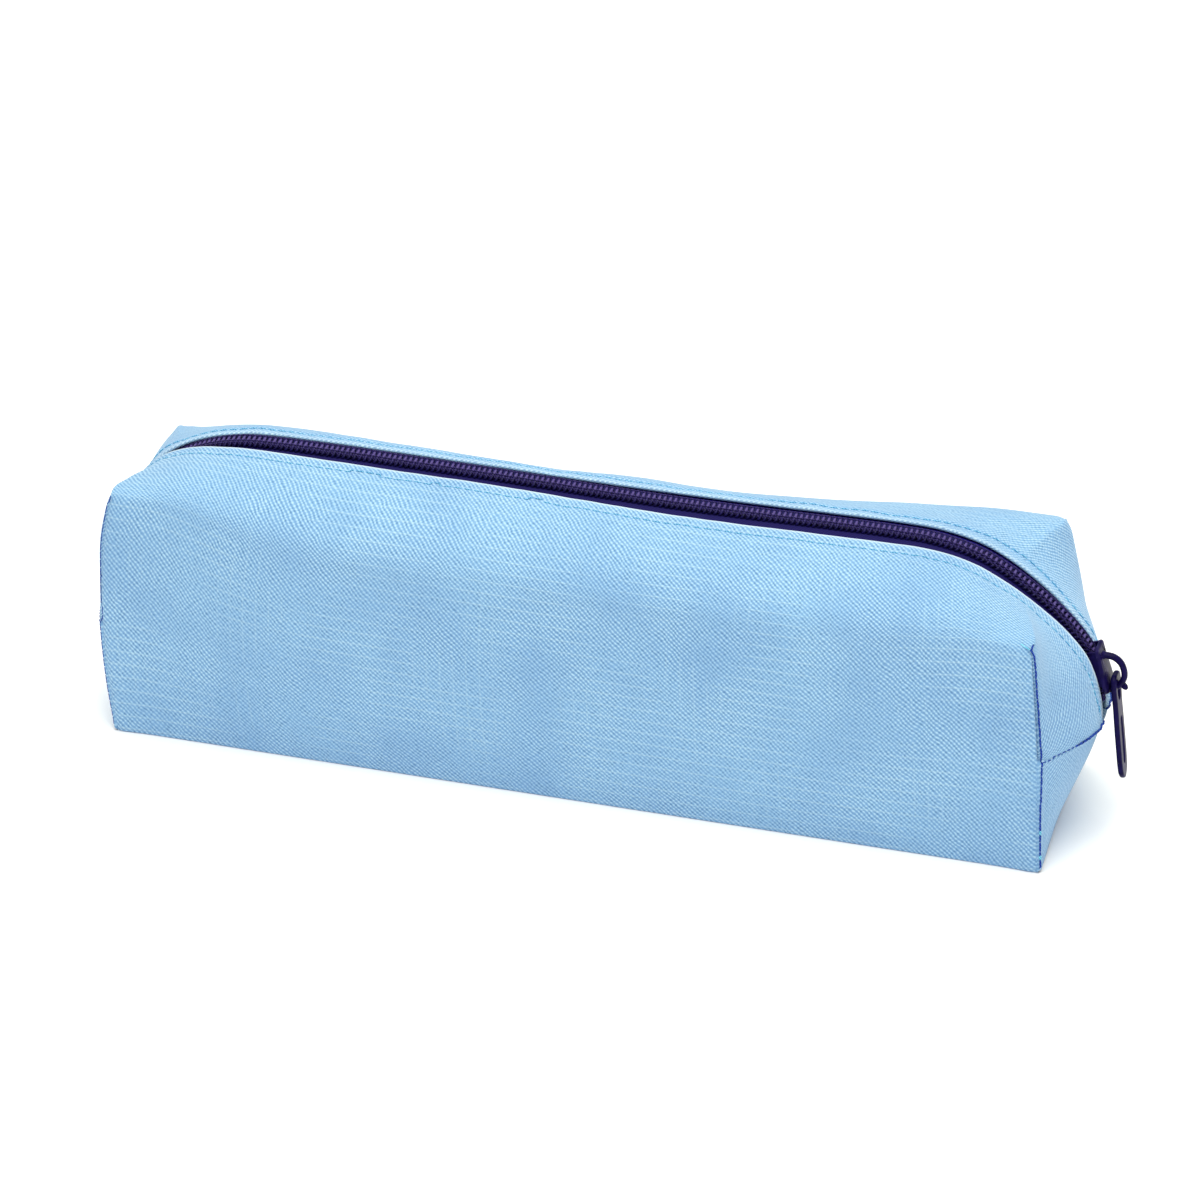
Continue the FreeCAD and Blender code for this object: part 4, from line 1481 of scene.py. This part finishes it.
def make_bail():
    """A cast arch with flared feet and a small stop knob on its outer side."""
    soup = Soup()
    # centre line in the slider's side plane, a little taller towards the nose
    side = [(-3.0, 1.2), (-2.75, 2.4), (-2.0, 3.9), (-0.7, 4.9), (1.0, 5.25), (2.8, 5.0),
            (4.2, 4.05), (5.0, 2.8), (5.1, 1.2)]
    line = Curve([(x, 0.0, z) for x, z in side], per_span=8)
    count = 64
    path = [line.part(i / (count - 1)) for i in range(count)]
    foot = [abs(2 * i / (count - 1) - 1) for i in range(count)]
    radii = [0.72 + 0.35 * float(ease((f - 0.86) / 0.14)) for f in foot]
    soup.add(*tube(path, radii, sides=18, flat=1.35, up=(0, 1, 0)))
    knob = [np.array([4.6 + 0.55 * k, 0.0, 4.1 + 0.28 * k]) for k in np.linspace(-0.6, 2.6, 12)]
    size = [0.72 * math.sqrt(max(0.04, 1 - ((k - 5.5) / 6.0) ** 2)) for k in range(12)]
    soup.add(*tube(knob, size, sides=16, up=(0, 1, 0)))
    soup.points = list(slider_world(soup.points))
    piece = soup.build("slider_bail_cast", ENAMEL)
    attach(piece, "slider")
    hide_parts("slider_bail")


def flat_casting(name, outer, holes, thickness, bevel, place):
    """A flat casting with rounded edges from an outline and its holes."""
    curve = bpy.data.curves.new(name, "CURVE")
    curve.dimensions = "2D"
    curve.fill_mode = "BOTH"
    curve.extrude = (thickness / 2 - bevel) * MM
    curve.bevel_depth = bevel * MM
    curve.bevel_resolution = 4
    for loop in [outer] + holes:
        spline = curve.splines.new("POLY")
        spline.points.add(len(loop) - 1)
        for point, (x, y) in zip(spline.points, loop):
            point.co = (x * MM, y * MM, 0.0, 1.0)
        spline.use_cyclic_u = True
    shape = put_in_scene(name, curve)
    graph = bpy.context.evaluated_depsgraph_get()
    graph.update()
    mesh = bpy.data.meshes.new_from_object(shape.evaluated_get(graph), depsgraph=graph)
    bpy.data.objects.remove(shape)
    bpy.data.curves.remove(curve)
    mesh.transform(place)
    mesh.materials.clear()
    mesh.materials.append(ENAMEL)
    mesh.polygons.foreach_set("use_smooth", [True] * len(mesh.polygons))
    mesh.set_sharp_from_angle(angle=math.radians(38))
    return put_in_scene(name, mesh)


def rounded_loop(corners, per_span=8):
    """A smooth closed loop through points."""
    ring = Curve([(x, y, 0) for x, y in corners + [corners[0]]], per_span=per_span)
    return [tuple(p[:2]) for p in ring.p[:-1]]


def mirrored(*right, narrow=1.0):
    """A smooth loop from the points of its right half, top to bottom."""
    left = [(-x, y) for x, y in right[-2:0:-1]]
    return rounded_loop([(narrow * x, y) for x, y in [*right, *left]])


def make_pull():
    """The tab: an eye round the bail, a waist, and a long round-ended blade with a raised rim."""
    axis = slider_world([PULL_ALONG, 0.0, PULL_OUT])[0]
    tilt = math.radians(PULL_TILT)
    down = Vector((math.sin(tilt), 0.0, -math.cos(tilt)))
    place = Matrix.Translation(Vector(axis) * MM) @ Matrix((
        (0.0, -down.x, down.z * -1.0, 0.0), (1.0, 0.0, 0.0, 0.0),
        (0.0, -down.z, down.x, 0.0), (0.0, 0.0, 0.0, 1.0)))
    # across and up, with the pivot at the origin
    outer = mirrored((0.0, 0.68), (1.5, 0.62), (2.4, 0.0), (2.7, -1.4), (2.65, -3.6), (2.45, -5.4),
                     (2.35, -7.0), (2.5, -9.5), (2.62, -13.0), (2.6, -17.0), (2.5, -20.5),
                     (1.9, -23.0), (0.0, -24.4), narrow=0.92)
    eye = mirrored((0.0, -0.66), (1.15, -0.9), (1.5, -2.0), (1.4, -4.2), (0.9, -5.3), (0.0, -5.6))
    slot = mirrored((0.0, -9.0), (0.95, -9.8), (1.2, -12.0), (1.2, -18.0), (0.9, -20.6),
                    (0.0, -21.5))
    rim = flat_casting("pull_rim", outer, [eye, slot], 1.25, 0.45, place)
    panel = flat_casting("pull_panel", rounded_loop([(x * 1.5, y) for x, y in slot[::8]]), [],
                         0.7, 0.1, place)
    for piece in (rim, panel):
        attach(piece, "pull")
    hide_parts("pull_tab")


make_slider()
make_bail()
make_pull()


# ------------------------------------------------------------------ studio

def aim(obj, place, target, roll=0.0):
    obj.location = place
    direction = Vector(target) - Vector(place)
    turn = direction.to_track_quat("-Z", "Y")
    obj.rotation_euler = turn.to_euler()
    if roll:
        obj.rotation_euler.rotate_axis("Z", roll)


def make_camera():
    """A long lens from the front and a little to the right, looking down at the case."""
    yaw, pitch, roll = math.radians(15.5), math.radians(27.0), math.radians(1.17)
    distance, target = 1.3503, Vector((-0.001, 0.0, 0.0375))
    direction = Vector((math.sin(yaw) * math.cos(pitch), -math.cos(yaw) * math.cos(pitch),
                        math.sin(pitch)))
    data = bpy.data.cameras.new("camera")
    data.sensor_width = 36.0
    data.lens = 178.9
    data.clip_end = 20.0
    camera = put_in_scene("camera", data)
    aim(camera, target + direction * distance, target, roll)
    bpy.context.scene.camera = camera


def area_light(name, place, target, size, power, colour=(1, 1, 1)):
    data = bpy.data.lights.new(name, "AREA")
    data.shape = "RECTANGLE"
    data.size, data.size_y = size
    data.energy = power
    data.color = colour
    aim(put_in_scene(name, data), place, target)


def make_studio():
    area_light("key", (0.05, -0.6, 1.25), (0.02, 0, 0.03), (0.8, 0.7), 8.5, (1.0, 0.98, 0.92))
    area_light("top", (0.0, 0.25, 1.3), (0, 0, 0.03), (1.2, 1.0), 13.5, (1.0, 0.955, 0.77))
    area_light("right", (1.2, -0.3, 0.6), (0, 0, 0.03), (0.6, 0.6), 1.2, (0.95, 0.96, 1.0))
    world = bpy.data.worlds.new("studio")
    world.use_nodes = True
    background = world.node_tree.nodes["Background"]
    background.inputs["Color"].default_value = (0.97, 0.985, 1.0, 1.0)
    background.inputs["Strength"].default_value = 0.66
    bpy.context.scene.world = world
    bpy.context.scene.view_settings.view_transform = "Standard"
    size = 3.0
    floor = mesh_object("studio_floor", np.array([(-size, -size, 0), (size, -size, 0),
                                                  (size, size, 0), (-size, size, 0)]) / MM
                        - (0, 0, 0.05), [[0, 1, 2, 3]], floor_material(), smooth=False)
    floor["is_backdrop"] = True


make_camera()
make_studio()

({"cad": [list(map(float, c)) for c in CAD_BOX],
           "visual": [list(map(float, c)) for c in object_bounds()]})
